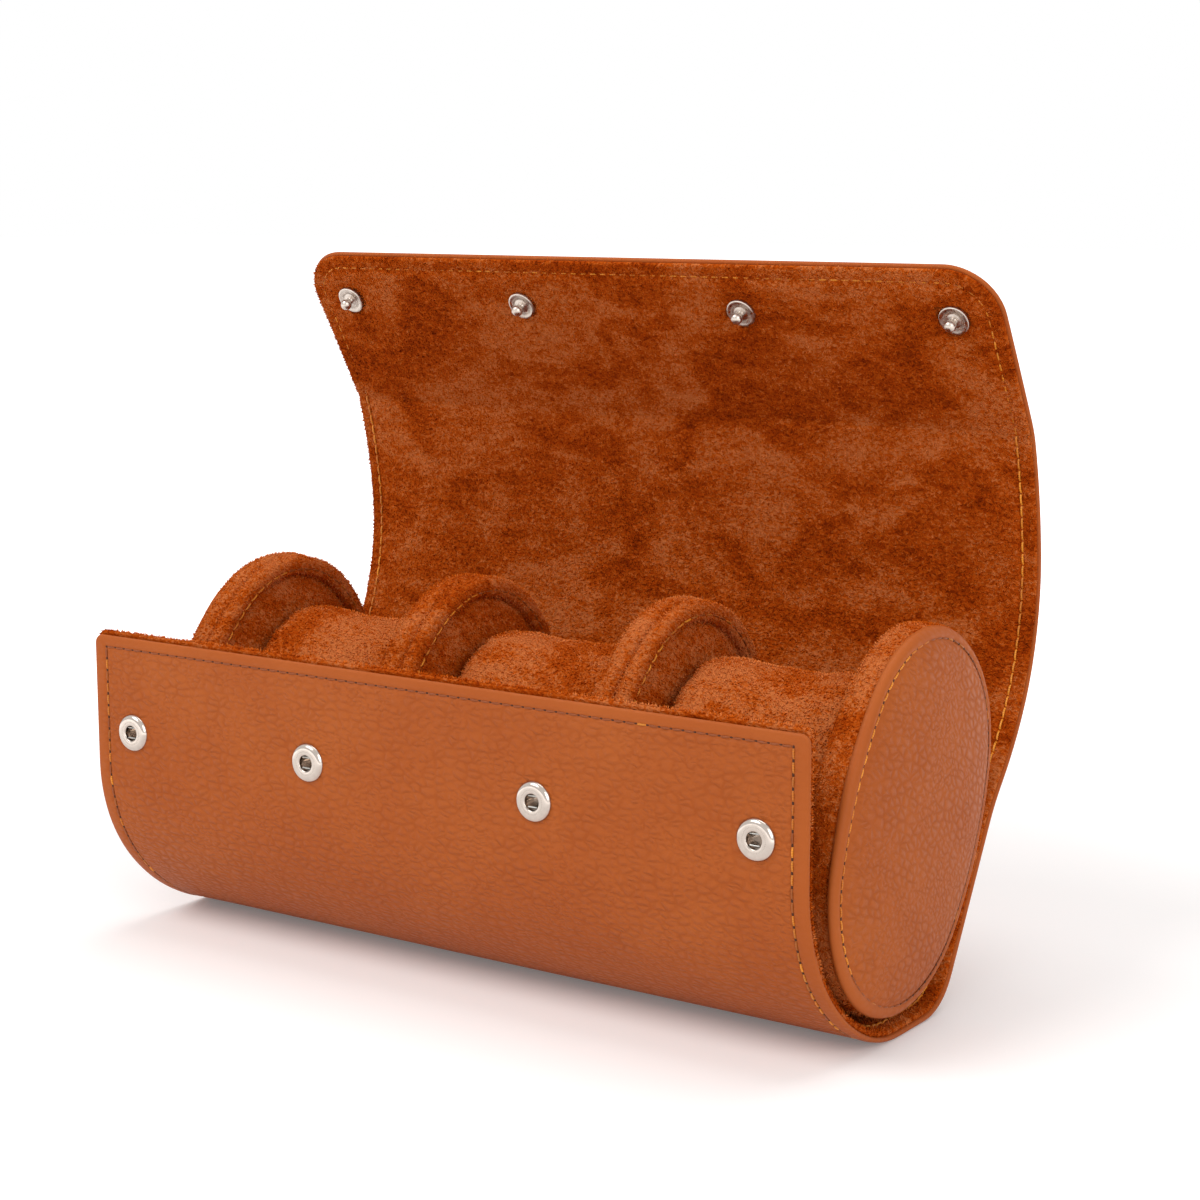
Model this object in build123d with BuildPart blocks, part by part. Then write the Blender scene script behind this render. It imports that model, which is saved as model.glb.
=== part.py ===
from build123d import *
import math
import os

os.makedirs("parts", exist_ok=True)

# Watch roll, standing open. X runs along the roll, Y from front to back, Z up.
# The origin is the middle of the flat strip that the roll stands on.
# The wrap is one flexible sheet of leather, stiffener and lining. It is split at its
# six fold lines into panels, which are laid out along the leather's outer line from
# the front top edge, under the roll and up the back, to the free end of the flap.

# wrap: sizes across the roll and through the sheet
wrap_width = 200.0
leather_thickness = 1.0
board_thickness = 1.0
lid_stiffener_thickness = 0.5
lining_thickness = 1.0
turned_edge = 3.0
lining_setback = 0.5
fold_gap = 0.15
glue_line = 0.05
arc_flatness = 0.001
fold_spare_angle = 1.0
front_corner_radius = 3.0
flap_corner_radius = 13.0

# wrap: lengths and turns along the leather, in millimetres and degrees
front_rise = 37.8
knee_length, knee_turn = 18.0, 43.0
shin_length = 16.5
shin_above_fold = 12.0
toe_length, toe_turn = 21.9, 47.0
floor_length = 16.4
heel_length, heel_turn = 14.8, 60.5
back_length = 41.6
lid_back_length, lid_back_turn = 28.0, 20.0
lid_middle_length, lid_middle_turn = 29.0, 24.0
lid_top_length, lid_top_turn = 33.0, 14.0
flap_length, flap_turn = 44.8, 2.0

# wrap: bend at each fold line, as it stands open and when the roll is closed
knee_fold_open, knee_fold_closed = 0.0, 18.8
shin_fold_open, shin_fold_closed = 0.0, 10.1
lid_fold_open, lid_fold_closed = -15.0, 31.6
middle_fold_open, middle_fold_closed = 2.0, 23.5
top_fold_open, top_fold_closed = 2.0, 22.5
flap_fold_open, flap_fold_closed = 12.5, 44.0

# padded discs that divide the roll: an oval of four arcs, leaning back
disc_half_length = 41.8
disc_half_width = 34.0
disc_end_radius = 30.0
disc_lean = 63.0
disc_centre_y = 0.6
disc_centre_z = 46.9
disc_left_margin = 10.5
disc_right_margin = 7.7
disc_band = 6.2
disc_edge_radius = 1.2
disc_face_depth = 1.4
welt_depth = 4.0
welt_width = 4.0
welt_setback = 0.3
welt_edge_radius = 1.3
end_disc_band = 8.0
core_half_length = 37.6
core_half_width = 30.4
core_end_radius = 27.5
core_centre_y = 1.0
core_centre_z = 44.4
core_thickness = 4.0
core_cover = 1.0

# domed leather face of each end disc: a rolled edge, then a shallow crown
face_roll = 2.2
face_crown = 2.2
face_edge_steps = 5
face_crown_steps = 6
face_crown_inset = 26.0

# removable cushions: a drawn-in roll of foam in a velvet cover
cushion_half_length = 38.7
cushion_half_width = 25.1
cushion_end_radius = 23.0
cushion_centre_y = -2.0
cushion_centre_z = 41.5
cushion_clearance = 0.35
cushion_waist = 1.2
cushion_edge_radius = 4.0
cushion_edge_steps = 5
cushion_waist_steps = 8
cover_thickness = 2.0

# snap fasteners, four pairs along the roll
snap_side_margin = 12.2
snap_end_pitch = 55.7
socket_from_edge = 23.2
stud_from_edge = 13.5
socket_radius = 4.6
socket_height = 1.1
socket_edge_radius = 0.7
socket_bore_radius = 1.85
eyelet_radius = 2.3
eyelet_flange_radius = 3.8
eyelet_flange_thickness = 0.5
spring_wire_radius = 0.2
spring_wire_offset = 1.25
spring_wire_depth = 0.5
stud_flange_radius = 3.7
stud_flange_thickness = 0.6
stud_post_radius = 0.8
stud_ball_radius = 1.45
stud_ball_height = 2.2
rivet_radius = 1.3
cap_radius = 5.0
cap_height = 1.4
cap_edge_radius = 1.0

wrap_depth = leather_thickness + board_thickness + lining_thickness
snap_outer_x = wrap_width / 2 - snap_side_margin
snap_inner_x = snap_outer_x - snap_end_pitch
snap_places = [(x, 0) for x in (-snap_outer_x, -snap_inner_x, snap_inner_x, snap_outer_x)]
disc_names = ["end_disc_left", "divider_left", "divider_right", "end_disc_right"]
disc_first_x = -wrap_width / 2 + disc_left_margin
disc_last_x = wrap_width / 2 - disc_right_margin
disc_pitch = (disc_last_x - disc_first_x) / (len(disc_names) - 1)
disc_x = [disc_first_x + i * disc_pitch for i in range(len(disc_names))]


def travel(start, heading, runs, s):
    # place and heading at length s along a chain of straight and round runs
    y, z = start
    for length, turn in runs:
        step = min(s, length)
        angle = math.radians(heading)
        if turn:
            radius = length / math.radians(turn)
            end = angle + step / radius
            y += radius * (math.sin(end) - math.sin(angle))
            z -= radius * (math.cos(end) - math.cos(angle))
        else:
            y += step * math.cos(angle)
            z += step * math.sin(angle)
        heading += turn * step / length
        s -= step
        if s <= 0:
            break
    return (y, z), heading


def full_length(runs):
    return sum(length for length, turn in runs)


# each panel: its runs, the folds at its two ends (None at a free end) and its stiffener
toe_and_back = [
    (shin_length - shin_above_fold, 0),
    (toe_length, toe_turn),
    (floor_length, 0),
    (heel_length, heel_turn),
    (back_length, 0),
]
panel_plan = [
    ("front_upper", [(front_rise, 0)], None, "knee", board_thickness),
    ("front_lower", [(knee_length, knee_turn), (shin_above_fold, 0)], "knee", "shin", board_thickness),
    ("base", toe_and_back, "shin", "lid", board_thickness),
    ("lid_back", [(lid_back_length, lid_back_turn)], "lid", "middle", lid_stiffener_thickness),
    ("lid_middle", [(lid_middle_length, lid_middle_turn)], "middle", "top", lid_stiffener_thickness),
    ("lid_top", [(lid_top_length, lid_top_turn)], "top", "flap", lid_stiffener_thickness),
    ("flap", [(flap_length, flap_turn)], "flap", None, lid_stiffener_thickness),
]
fold_open = {
    None: 0.0,
    "knee": knee_fold_open,
    "shin": shin_fold_open,
    "lid": lid_fold_open,
    "middle": middle_fold_open,
    "top": top_fold_open,
    "flap": flap_fold_open,
}
fold_closed = {
    "knee": knee_fold_closed,
    "shin": shin_fold_closed,
    "lid": lid_fold_closed,
    "middle": middle_fold_closed,
    "top": top_fold_closed,
    "flap": flap_fold_closed,
}

# the flat floor lies at z = 0 with its middle at y = 0
down_to_floor = panel_plan[0][1] + panel_plan[1][1] + toe_and_back[:2]
(floor_y, floor_z), floor_heading = travel((0, 0), -90.0, down_to_floor, full_length(down_to_floor))
place = (-floor_y - floor_length / 2, -floor_z)
heading = -90.0
panels = {}
for name, runs, first_fold, last_fold, stiffener in panel_plan:
    heading += fold_open[first_fold]
    panels[name] = {
        "start": place,
        "heading": heading,
        "runs": runs,
        "folds": (first_fold, last_fold),
        "stiffener": stiffener,
    }
    place, heading = travel(place, heading, runs, full_length(runs))
    print(name, "ends at y %.3f z %.3f, heading %.2f" % (place[0], place[1], heading))


def spot(panel, s, depth):
    # point on a panel at length s, that far inside the leather's outer face
    (y, z), turned = travel(panel["start"], panel["heading"], panel["runs"], s)
    turned = math.radians(turned)
    return (y - depth * math.sin(turned), z + depth * math.cos(turned))


def end_cut(fold, depth):
    # how far a panel stops short of its fold line, so that the fold can close
    if fold is None:
        return 0.0
    return fold_gap + max(depth, 0.0) * math.tan(math.radians(fold_closed[fold] / 2 + fold_spare_angle))


def side(panel, depth, first, last):
    # one long side of a layer, run by run
    stops = [first]
    reached = 0.0
    for length, turn in panel["runs"]:
        reached += length
        if first < reached < last:
            stops.append(reached)
    stops.append(last)
    for a, b in zip(stops, stops[1:]):
        ends = spot(panel, a, depth), spot(panel, b, depth)
        middle = spot(panel, (a + b) / 2, depth)
        chord_middle = ((ends[0][0] + ends[1][0]) / 2, (ends[0][1] + ends[1][1]) / 2)
        if math.dist(middle, chord_middle) > arc_flatness:
            ThreePointArc(ends[0], middle, ends[1])
        else:
            Line(ends[0], ends[1])


def layer(panel, outer, inner, width, inset=0.0):
    # one layer of a panel between two depths, square across the roll
    first_fold, last_fold = panel["folds"]
    total = full_length(panel["runs"])
    cuts = []
    for depth in (outer, inner):
        first = end_cut(first_fold, depth) + inset
        last = total - end_cut(last_fold, depth) - inset
        cuts.append((depth, first, last))
    with BuildPart() as slab:
        with BuildSketch(Plane.YZ.offset(-width / 2)):
            with BuildLine():
                for depth, first, last in cuts:
                    side(panel, depth, first, last)
                for end in (1, 2):
                    Line(*[spot(panel, cut[end], cut[0]) for cut in cuts])
            make_face()
        extrude(amount=width)
    return slab.part


def free_corners(part, panel, width, inset=0.0):
    # the two short edges of a layer at its panel's free end
    total = full_length(panel["runs"])
    s = inset if panel["folds"][0] is None else total - inset
    y, z = spot(panel, s, leather_thickness)
    short_edges = part.edges().filter_by(lambda edge: edge.length < wrap_depth)
    return [short_edges.sort_by_distance((x, y, z))[0] for x in (-width / 2, width / 2)]


def snap_plane(panel, s, depth, outward):
    # plane on a panel's face, X along the roll, Z away from or into the wrap
    (y, z), turned = travel(panel["start"], panel["heading"], panel["runs"], s)
    y, z = spot(panel, s, depth)
    sign = 1 if outward else -1
    turned = math.radians(turned)
    return Plane((0, y, z), (1, 0, 0), (0, sign * math.sin(turned), -sign * math.cos(turned)))


lid_depth = leather_thickness + lid_stiffener_thickness + lining_thickness
socket_plane = snap_plane(panels["front_upper"], socket_from_edge, 0, True)
stud_plane = snap_plane(panels["flap"], flap_length - stud_from_edge, lid_depth, False)
cap_plane = snap_plane(panels["flap"], flap_length - stud_from_edge, 0, True)
snap_bore = {"front_upper": (socket_plane, eyelet_radius), "flap": (cap_plane, rivet_radius)}
corner_radius = {"front_upper": front_corner_radius, "flap": flap_corner_radius}

# the wrap's panels: stiffener, leather with its turned edges, and velvet lining
for name, panel in panels.items():
    board_depth = leather_thickness + panel["stiffener"]
    board_width = wrap_width - 2 * turned_edge
    lining_width = wrap_width - 2 * lining_setback
    lining_depth = board_depth + lining_thickness
    rounding = corner_radius.get(name)

    with BuildPart() as board:
        add(layer(panel, leather_thickness, board_depth, board_width, turned_edge))
        if rounding and rounding > turned_edge:
            corners = free_corners(board, panel, board_width, turned_edge)
            fillet(corners, radius=rounding - turned_edge)
        if name in snap_bore:
            with BuildSketch(snap_bore[name][0]):
                with Locations(*snap_places):
                    Circle(snap_bore[name][1])
            extrude(amount=wrap_depth, both=True, mode=Mode.SUBTRACT)
    board.part.label = name + "_board"
    export_step(board.part, "parts/" + name + "_board.step")

    with BuildPart() as leather:
        add(layer(panel, 0, board_depth, wrap_width))
        if rounding:
            fillet(free_corners(leather, panel, wrap_width), radius=rounding)
        add(board.part, mode=Mode.SUBTRACT)
        if name in snap_bore:
            with BuildSketch(snap_bore[name][0]):
                with Locations(*snap_places):
                    Circle(snap_bore[name][1])
            extrude(amount=wrap_depth, both=True, mode=Mode.SUBTRACT)
    leather.part.label = name + "_leather"
    export_step(leather.part, "parts/" + name + "_leather.step")

    with BuildPart() as lining:
        add(layer(panel, board_depth + glue_line, lining_depth, lining_width))
        if rounding:
            fillet(free_corners(lining, panel, lining_width), radius=rounding - lining_setback)
        if name in snap_bore:
            with BuildSketch(snap_bore[name][0]):
                with Locations(*snap_places):
                    Circle(snap_bore[name][1])
            extrude(amount=wrap_depth, both=True, mode=Mode.SUBTRACT)
        if name == "flap":
            with BuildSketch(stud_plane.offset(-stud_flange_thickness)):
                with Locations(*snap_places):
                    Circle(stud_flange_radius)
            extrude(amount=lining_thickness, mode=Mode.SUBTRACT)
    lining.part.label = name + "_lining"
    export_step(lining.part, "parts/" + name + "_lining.step")


# the padded discs: each oval is drawn on its own leaning plane, long axis first
def oval_plane(x, y, z):
    lean = math.radians(disc_lean)
    return Plane((x, y, z), (0, math.cos(lean), math.sin(lean)), (1, 0, 0))


def oval(half_length, half_width, end_radius):
    # an oval of four arcs: two round ends and two flatter sides that meet them smoothly
    end_centre = half_length - end_radius
    side_radius = (end_centre**2 + half_width**2 - end_radius**2) / (2 * (half_width - end_radius))
    angle = math.atan2(side_radius - half_width, end_centre)
    x = end_centre + end_radius * math.cos(angle)
    y = end_radius * math.sin(angle)
    with BuildLine() as outline:
        ThreePointArc((x, -y), (half_length, 0), (x, y))
        ThreePointArc((x, y), (0, half_width), (-x, y))
        ThreePointArc((-x, y), (-half_length, 0), (-x, -y))
        ThreePointArc((-x, -y), (0, -half_width), (x, -y))
    make_face(outline.edges())


def disc_oval(inset):
    oval(disc_half_length - inset, disc_half_width - inset, disc_end_radius - inset)


def disc_plane(x):
    return oval_plane(x, disc_centre_y, disc_centre_z)


# the discs are glued to the lining where the wrap rises behind them
back_wall_reach = 12.0
back_wall = layer(panels["base"], -back_wall_reach, wrap_depth, wrap_width + 4 * back_wall_reach)

for name, x in zip(disc_names, disc_x):
    band = end_disc_band if name == "end_disc_right" else disc_band

    with BuildPart() as core:
        with BuildSketch(oval_plane(x + core_cover, core_centre_y, core_centre_z)):
            oval(core_half_length, core_half_width, core_end_radius)
        extrude(amount=core_thickness)
    core.part.label = name + "_core"
    export_step(core.part, "parts/" + name + "_core.step")

    with BuildPart() as pad:
        with BuildSketch(disc_plane(x)):
            disc_oval(0)
        extrude(amount=band)
        rims = pad.edges().group_by(Axis.X)
        fillet(rims[0] + rims[-1], radius=disc_edge_radius)
        if name != "end_disc_right":
            with BuildSketch(disc_plane(x + band)):
                disc_oval(welt_setback + welt_width)
            extrude(amount=disc_face_depth)
        add(core.part, mode=Mode.SUBTRACT)
        add(back_wall, mode=Mode.SUBTRACT)
    pad.part.label = name + "_pad"
    export_step(pad.part, "parts/" + name + "_pad.step")

    if name != "end_disc_right":
        with BuildPart() as welt:
            with BuildSketch(disc_plane(x + band)):
                disc_oval(welt_setback)
            extrude(amount=welt_depth)
            with BuildSketch(disc_plane(x + band)):
                disc_oval(welt_setback + welt_width)
            extrude(amount=welt_depth, mode=Mode.SUBTRACT)
            fillet(welt.edges().group_by(Axis.X)[-1], radius=welt_edge_radius)
            add(back_wall, mode=Mode.SUBTRACT)
        welt.part.label = name + "_welt"
        export_step(welt.part, "parts/" + name + "_welt.step")

# leather faces of the two end discs, domed outwards: height of each ring and its inset
dome_steps = []
for i in range(face_edge_steps + 1):
    angle = math.radians(90 * i / face_edge_steps)
    dome_steps.append((face_roll * math.sin(angle), face_roll * (1 - math.cos(angle))))
for i in range(1, face_crown_steps + 1):
    angle = math.radians(90 * i / face_crown_steps)
    rise = face_roll + face_crown * math.sin(angle)
    dome_steps.append((rise, face_roll + (face_crown_inset - face_roll) * (1 - math.cos(angle))))
for name, x, outward in (
    ("end_disc_left", disc_x[0], -1),
    ("end_disc_right", disc_x[3] + end_disc_band, 1),
):
    with BuildPart() as face:
        for rise, inset in dome_steps:
            with BuildSketch(disc_plane(x + outward * rise)):
                disc_oval(inset)
        loft(ruled=True)
        add(back_wall, mode=Mode.SUBTRACT)
    face.part.label = name + "_face"
    export_step(face.part, "parts/" + name + "_face.step")

# removable cushions, each between two discs
welt_end = disc_band + welt_depth
slot_width = disc_pitch - welt_end
cushion_width = slot_width - 2 * cushion_clearance
cushion_names = ["cushion_left", "cushion_centre", "cushion_right"]


def cushion_oval(inset):
    oval(cushion_half_length - inset, cushion_half_width - inset, cushion_end_radius - inset)


def cushion_inset(d):
    # how far the cover is drawn in at distance d from a cushion's end
    to_edge = max(0.0, 1 - min(d, cushion_width - d) / cushion_edge_radius)
    waist = cushion_waist * math.sin(math.pi * d / cushion_width) ** 2
    return waist + cushion_edge_radius * (1 - math.sqrt(1 - to_edge**2))


edge_places = [
    cushion_edge_radius * (1 - math.cos(math.radians(90 * i / cushion_edge_steps)))
    for i in range(cushion_edge_steps)
]
waist_span = cushion_width - 2 * cushion_edge_radius
waist_places = [
    cushion_edge_radius + waist_span * i / cushion_waist_steps for i in range(cushion_waist_steps + 1)
]
cushion_places = edge_places + waist_places + [cushion_width - d for d in reversed(edge_places)]


for name, disc_left in zip(cushion_names, disc_x):
    start = disc_left + welt_end + cushion_clearance

    with BuildPart() as foam:
        with BuildSketch(oval_plane(start + cover_thickness, cushion_centre_y, cushion_centre_z)):
            cushion_oval(cushion_waist + cover_thickness)
        extrude(amount=cushion_width - 2 * cover_thickness)
    foam.part.label = name + "_foam"
    export_step(foam.part, "parts/" + name + "_foam.step")

    with BuildPart() as cover:
        for d in cushion_places:
            with BuildSketch(oval_plane(start + d, cushion_centre_y, cushion_centre_z)):
                cushion_oval(cushion_inset(d))
        loft(ruled=True)
        add(foam.part, mode=Mode.SUBTRACT)
    cover.part.label = name + "_cover"
    export_step(cover.part, "parts/" + name + "_cover.step")

# snap sockets on the front panel, with their springs and the eyelets that clench them
with BuildPart() as sockets:
    with BuildSketch(socket_plane):
        with Locations(*snap_places):
            Circle(socket_radius)
    extrude(amount=socket_height)
    fillet(sockets.faces().sort_by(Axis.Y)[: len(snap_places)].edges(), radius=socket_edge_radius)
    with BuildSketch(socket_plane):
        with Locations(*snap_places):
            Circle(socket_bore_radius)
    extrude(amount=socket_height, mode=Mode.SUBTRACT)
sockets.part.label = "snap_sockets"
export_step(sockets.part, "parts/snap_sockets.step")

with BuildPart() as springs:
    wire_length = 2 * math.sqrt(socket_bore_radius**2 - (spring_wire_offset + spring_wire_radius) ** 2)
    wire_places = [(x, z) for x, z0 in snap_places for z in (-spring_wire_offset, spring_wire_offset)]
    for x, across in wire_places:
        centre = socket_plane.from_local_coords((x, across, socket_height - spring_wire_depth))
        with BuildSketch(Plane(centre, (0, 1, 0), (1, 0, 0))):
            Circle(spring_wire_radius)
        extrude(amount=wire_length / 2, both=True)
springs.part.label = "snap_springs"
export_step(springs.part, "parts/snap_springs.step")

with BuildPart() as eyelets:
    with BuildSketch(socket_plane.offset(-wrap_depth - eyelet_flange_thickness)):
        with Locations(*snap_places):
            Circle(eyelet_flange_radius)
    extrude(amount=eyelet_flange_thickness)
    with BuildSketch(socket_plane.offset(-wrap_depth)):
        with Locations(*snap_places):
            Circle(eyelet_radius)
            Circle(socket_bore_radius, mode=Mode.SUBTRACT)
    extrude(amount=wrap_depth)
eyelets.part.label = "snap_eyelets"
export_step(eyelets.part, "parts/snap_eyelets.step")

# snap studs on the flap's velvet side, riveted to the caps on its leather side
with BuildPart() as studs:
    with BuildSketch(stud_plane.offset(-stud_flange_thickness)):
        with Locations(*snap_places):
            Circle(stud_flange_radius)
    extrude(amount=stud_flange_thickness)
    with BuildSketch(stud_plane):
        with Locations(*snap_places):
            Circle(stud_post_radius)
    extrude(amount=stud_ball_height)
    with Locations(*[stud_plane.from_local_coords((x, 0, stud_ball_height)) for x, z in snap_places]):
        Sphere(stud_ball_radius)
studs.part.label = "snap_studs"
export_step(studs.part, "parts/snap_studs.step")

with BuildPart() as caps:
    with BuildSketch(cap_plane):
        with Locations(*snap_places):
            Circle(cap_radius)
    extrude(amount=cap_height)
    fillet(caps.faces().sort_by(Axis.Y)[-len(snap_places):].edges(), radius=cap_edge_radius)
    with BuildSketch(cap_plane):
        with Locations(*snap_places):
            Circle(rivet_radius)
    extrude(amount=-(lid_depth - stud_flange_thickness))
caps.part.label = "snap_caps"
export_step(caps.part, "parts/snap_caps.step")
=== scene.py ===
import math
import random

import bmesh
import bpy
import numpy as np
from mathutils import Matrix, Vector, noise


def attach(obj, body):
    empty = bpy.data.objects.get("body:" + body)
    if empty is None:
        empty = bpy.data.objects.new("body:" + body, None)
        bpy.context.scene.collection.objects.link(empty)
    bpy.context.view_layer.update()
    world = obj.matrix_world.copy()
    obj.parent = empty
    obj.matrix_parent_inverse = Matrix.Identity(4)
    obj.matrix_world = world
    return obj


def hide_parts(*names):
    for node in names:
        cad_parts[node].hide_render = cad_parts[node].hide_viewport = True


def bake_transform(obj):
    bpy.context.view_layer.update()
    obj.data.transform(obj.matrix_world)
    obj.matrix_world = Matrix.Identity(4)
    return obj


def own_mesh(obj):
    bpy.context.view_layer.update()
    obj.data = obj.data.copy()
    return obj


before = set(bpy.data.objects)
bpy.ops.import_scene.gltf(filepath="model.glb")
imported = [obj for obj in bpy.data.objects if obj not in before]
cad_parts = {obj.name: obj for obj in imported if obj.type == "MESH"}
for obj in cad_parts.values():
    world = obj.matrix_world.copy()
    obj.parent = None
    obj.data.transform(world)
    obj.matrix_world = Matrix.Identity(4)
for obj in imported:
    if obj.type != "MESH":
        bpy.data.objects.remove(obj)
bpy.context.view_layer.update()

# A leather watch roll, standing open: a stiffened wrap of pebbled leather lined with
# velvet, four padded discs, three cushions between them and four snap fasteners.
# Sizes in the dictionaries are millimetres and degrees. Meshes are made in metres.

mm = 0.001
scene = bpy.context.scene
print("frame loaded,", len(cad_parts), "nodes")


# colours and node trees

def srgb(text):
    parts = [int(text[i:i + 2], 16) / 255 for i in (1, 3, 5)]
    return [c / 12.92 if c <= 0.04045 else ((c + 0.055) / 1.055) ** 2.4 for c in parts] + [1.0]


def setInputs(tree, node, inputs):
    # an input is a value, another socket, or a node whose first output is meant; a list
    # of inputs fills the sockets in order
    for key, value in (inputs.items() if isinstance(inputs, dict) else enumerate(inputs)):
        if isinstance(value, bpy.types.Node):
            value = value.outputs[0]
        if isinstance(value, bpy.types.NodeSocket):
            tree.links.new(value, node.inputs[key])
        else:
            node.inputs[key].default_value = value


def addNode(tree, kind, settings=None, inputs=()):
    node = tree.nodes.new(kind)
    for key, value in (settings or {}).items():
        setattr(node, key, value)
    setInputs(tree, node, inputs)
    return node


# settings that many nodes share
multiply = {"operation": "MULTIPLY"}
multiplyAdd = {"operation": "MULTIPLY_ADD"}
divide = {"operation": "DIVIDE"}
add = {"operation": "ADD"}
larger = {"operation": "MAXIMUM"}
smoothly = {"interpolation_type": "SMOOTHSTEP"}
blended = {"data_type": "RGBA"}


def emptyTree(owner):
    owner.use_nodes = True
    owner.node_tree.nodes.clear()
    return owner.node_tree


def newMaterial(name):
    material = bpy.data.materials.new(name)
    tree = emptyTree(material)
    shader = addNode(tree, "ShaderNodeBsdfPrincipled")
    addNode(tree, "ShaderNodeOutputMaterial", {}, {"Surface": shader})
    return material, tree, shader


def unevenness(tree, place, size, detail, **more):
    # noise whose clouds have that size, in the unit of the place
    laid = addNode(tree, "ShaderNodeVectorMath", divide, [place, size])
    return addNode(tree, "ShaderNodeTexNoise", {}, {"Vector": laid, "Scale": 1.0, "Detail": detail, **more})


leather = {
    "pebble": (3.1, 1.8, 1.0),    # width and height of one pebble of the grain
    "smallPebble": (1.9, 1.15, 1.0),
    "pebbleDepth": 0.36,
    "creaseReach": 0.36,          # share of a pebble over which its side rises from the crease
    "wander": (3.2, 3.2, 3.2),    # the creases wander within this length, by this much
    "wanderBy": (2.0, 1.3, 0.0),
    # size and detail of the slower and the finer unevenness
    "field": ((11.0, 11.0, 11.0), 1.0),
    "wrinkle": ((7.0, 3.2, 3.2), 2.0),
    "pore": ((0.3, 0.3, 0.3), 2.0),
    "cloud": ((32.0, 32.0, 32.0), 3.0),
    "smoothRim": (1.6, 4.4),      # the turned edge is drawn smooth up to its stitches
    "colour": "#A8531F",
    # painted shade, darkening the creases between the pebbles
    "creaseShadeColour": "#8C3C0A",
    "paleColour": "#B15C25",
}


def pebbledLeather():
    # Corrected-grain cowhide, drum dyed and pebble embossed: soft domes between fine creases
    # with painted shade, a satin pigment finish, and smooth where it is pulled round an edge.
    material, tree, shader = newMaterial("pebbledLeather")
    place = addNode(tree, "ShaderNodeAttribute", {"attribute_name": "clothPlace"}).outputs["Vector"]
    rim = addNode(tree, "ShaderNodeAttribute", {"attribute_name": "rimDistance"}).outputs["Fac"]
    wander = unevenness(tree, place, leather["wander"], 4.0)
    pushed = addNode(tree, "ShaderNodeVectorMath", multiplyAdd, [
        wander.outputs["Color"], leather["wanderBy"], place])
    pebbles = []
    for size in (leather["pebble"], leather["smallPebble"]):
        laid = addNode(tree, "ShaderNodeVectorMath", divide, [pushed, size])
        inputs = {"Vector": laid, "Scale": 1.0, "Randomness": 0.9}
        edge, middle = [addNode(tree, "ShaderNodeTexVoronoi", {
            "voronoi_dimensions": "2D", "feature": kind}, inputs) for kind in ("DISTANCE_TO_EDGE", "F1")]
        side = addNode(tree, "ShaderNodeMapRange", smoothly, [
            edge.outputs["Distance"], 0.0, leather["creaseReach"], 0.25, 1.0])
        dome = addNode(tree, "ShaderNodeMapRange", smoothly, [
            middle.outputs["Distance"], 0.0, 0.9, 1.0, 0.40])
        pebbles.append(addNode(tree, "ShaderNodeMath", multiply, [side, dome]))
    uneven = {}
    for name, source in (("field", place), ("wrinkle", pushed), ("pore", place), ("cloud", place)):
        uneven[name] = unevenness(tree, source, *leather[name])
    small = addNode(tree, "ShaderNodeMapRange", smoothly, [uneven["field"], 0.42, 0.64, 0.05, 0.55])
    grain = addNode(tree, "ShaderNodeMix", {"data_type": "FLOAT"}, {0: small, 2: pebbles[0], 3: pebbles[1]})
    rimStart, rimEnd = leather["smoothRim"]
    fade = addNode(tree, "ShaderNodeMapRange", smoothly, [rim, rimStart, rimEnd, 0.10, 1.0])
    raised = addNode(tree, "ShaderNodeMath", multiplyAdd, [uneven["wrinkle"], 0.6, grain])
    raised = addNode(tree, "ShaderNodeMath", multiply, [raised, fade])
    raised = addNode(tree, "ShaderNodeMath", multiplyAdd, [uneven["pore"], 0.03, raised])
    bump = addNode(tree, "ShaderNodeBump", {}, {
        "Strength": 1.0, "Distance": leather["pebbleDepth"] * mm, "Height": raised})

    pale = addNode(tree, "ShaderNodeMapRange", smoothly, [uneven["cloud"], 0.35, 0.7, 0.0, 0.6])
    base = addNode(tree, "ShaderNodeMix", blended, {
        0: pale, 6: srgb(leather["colour"]), 7: srgb(leather["paleColour"])}).outputs[2]
    # painted shade in the creases between the pebbles, faded near the smooth rim and where the wrinkle noise
    # is low
    creaseShade = addNode(tree, "ShaderNodeMapRange", smoothly, [grain, 0.12, 0.55, 0.34, 0.0])
    creaseShade = addNode(tree, "ShaderNodeMath", multiply, [creaseShade, fade])
    creased = addNode(tree, "ShaderNodeMapRange", smoothly, [uneven["wrinkle"], 0.36, 0.62, 0.15, 1.0])
    creaseShade = addNode(tree, "ShaderNodeMath", multiply, [creaseShade, creased])
    colour = addNode(tree, "ShaderNodeMix", blended, {0: creaseShade, 6: base, 7: srgb(leather["creaseShadeColour"])})
    rough = addNode(tree, "ShaderNodeMapRange", smoothly, [grain, 0.0, 1.0, 0.62, 0.48])
    setInputs(tree, shader, {"Base Color": colour.outputs[2], "Normal": bump, "Roughness": rough,
                             "Specular IOR Level": 0.16})
    return material


velvet = {
    # size, detail, roughness and distortion of each unevenness
    "patch": ((31.0, 21.0, 21.0), 3.0, 0.55, 0.9),     # painted sheen and shade of the pile, in patches where it was stroked
    "streak": ((7.0, 4.0, 4.0), 3.0, 0.5, 0.6),
    # clumps of pile, drawn coarser than the real fibres, which are too fine to show; their light and dark is
    # painted sheen and shade
    "tuft": ((1.15, 0.8, 0.9), 2.0, 0.65, 1.1),
    "patchShare": 0.42,
    "streakShare": 0.75,
    "tuftShare": 1.95,
    "levels": (1.03, 1.91),       # their sum at the deepest and at the palest colour
    "tuftDepth": 0.7,
    "deepColour": "#862C02",
    "midColour": "#C65008",
    "warmColour": "#DE6818",
    "paleColour": "#F08C4C",
    # painted shade at the roots of the pile
    "rootShadeColour": "#6E2202",
    "sheenColour": "#EA7A34",
}


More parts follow.
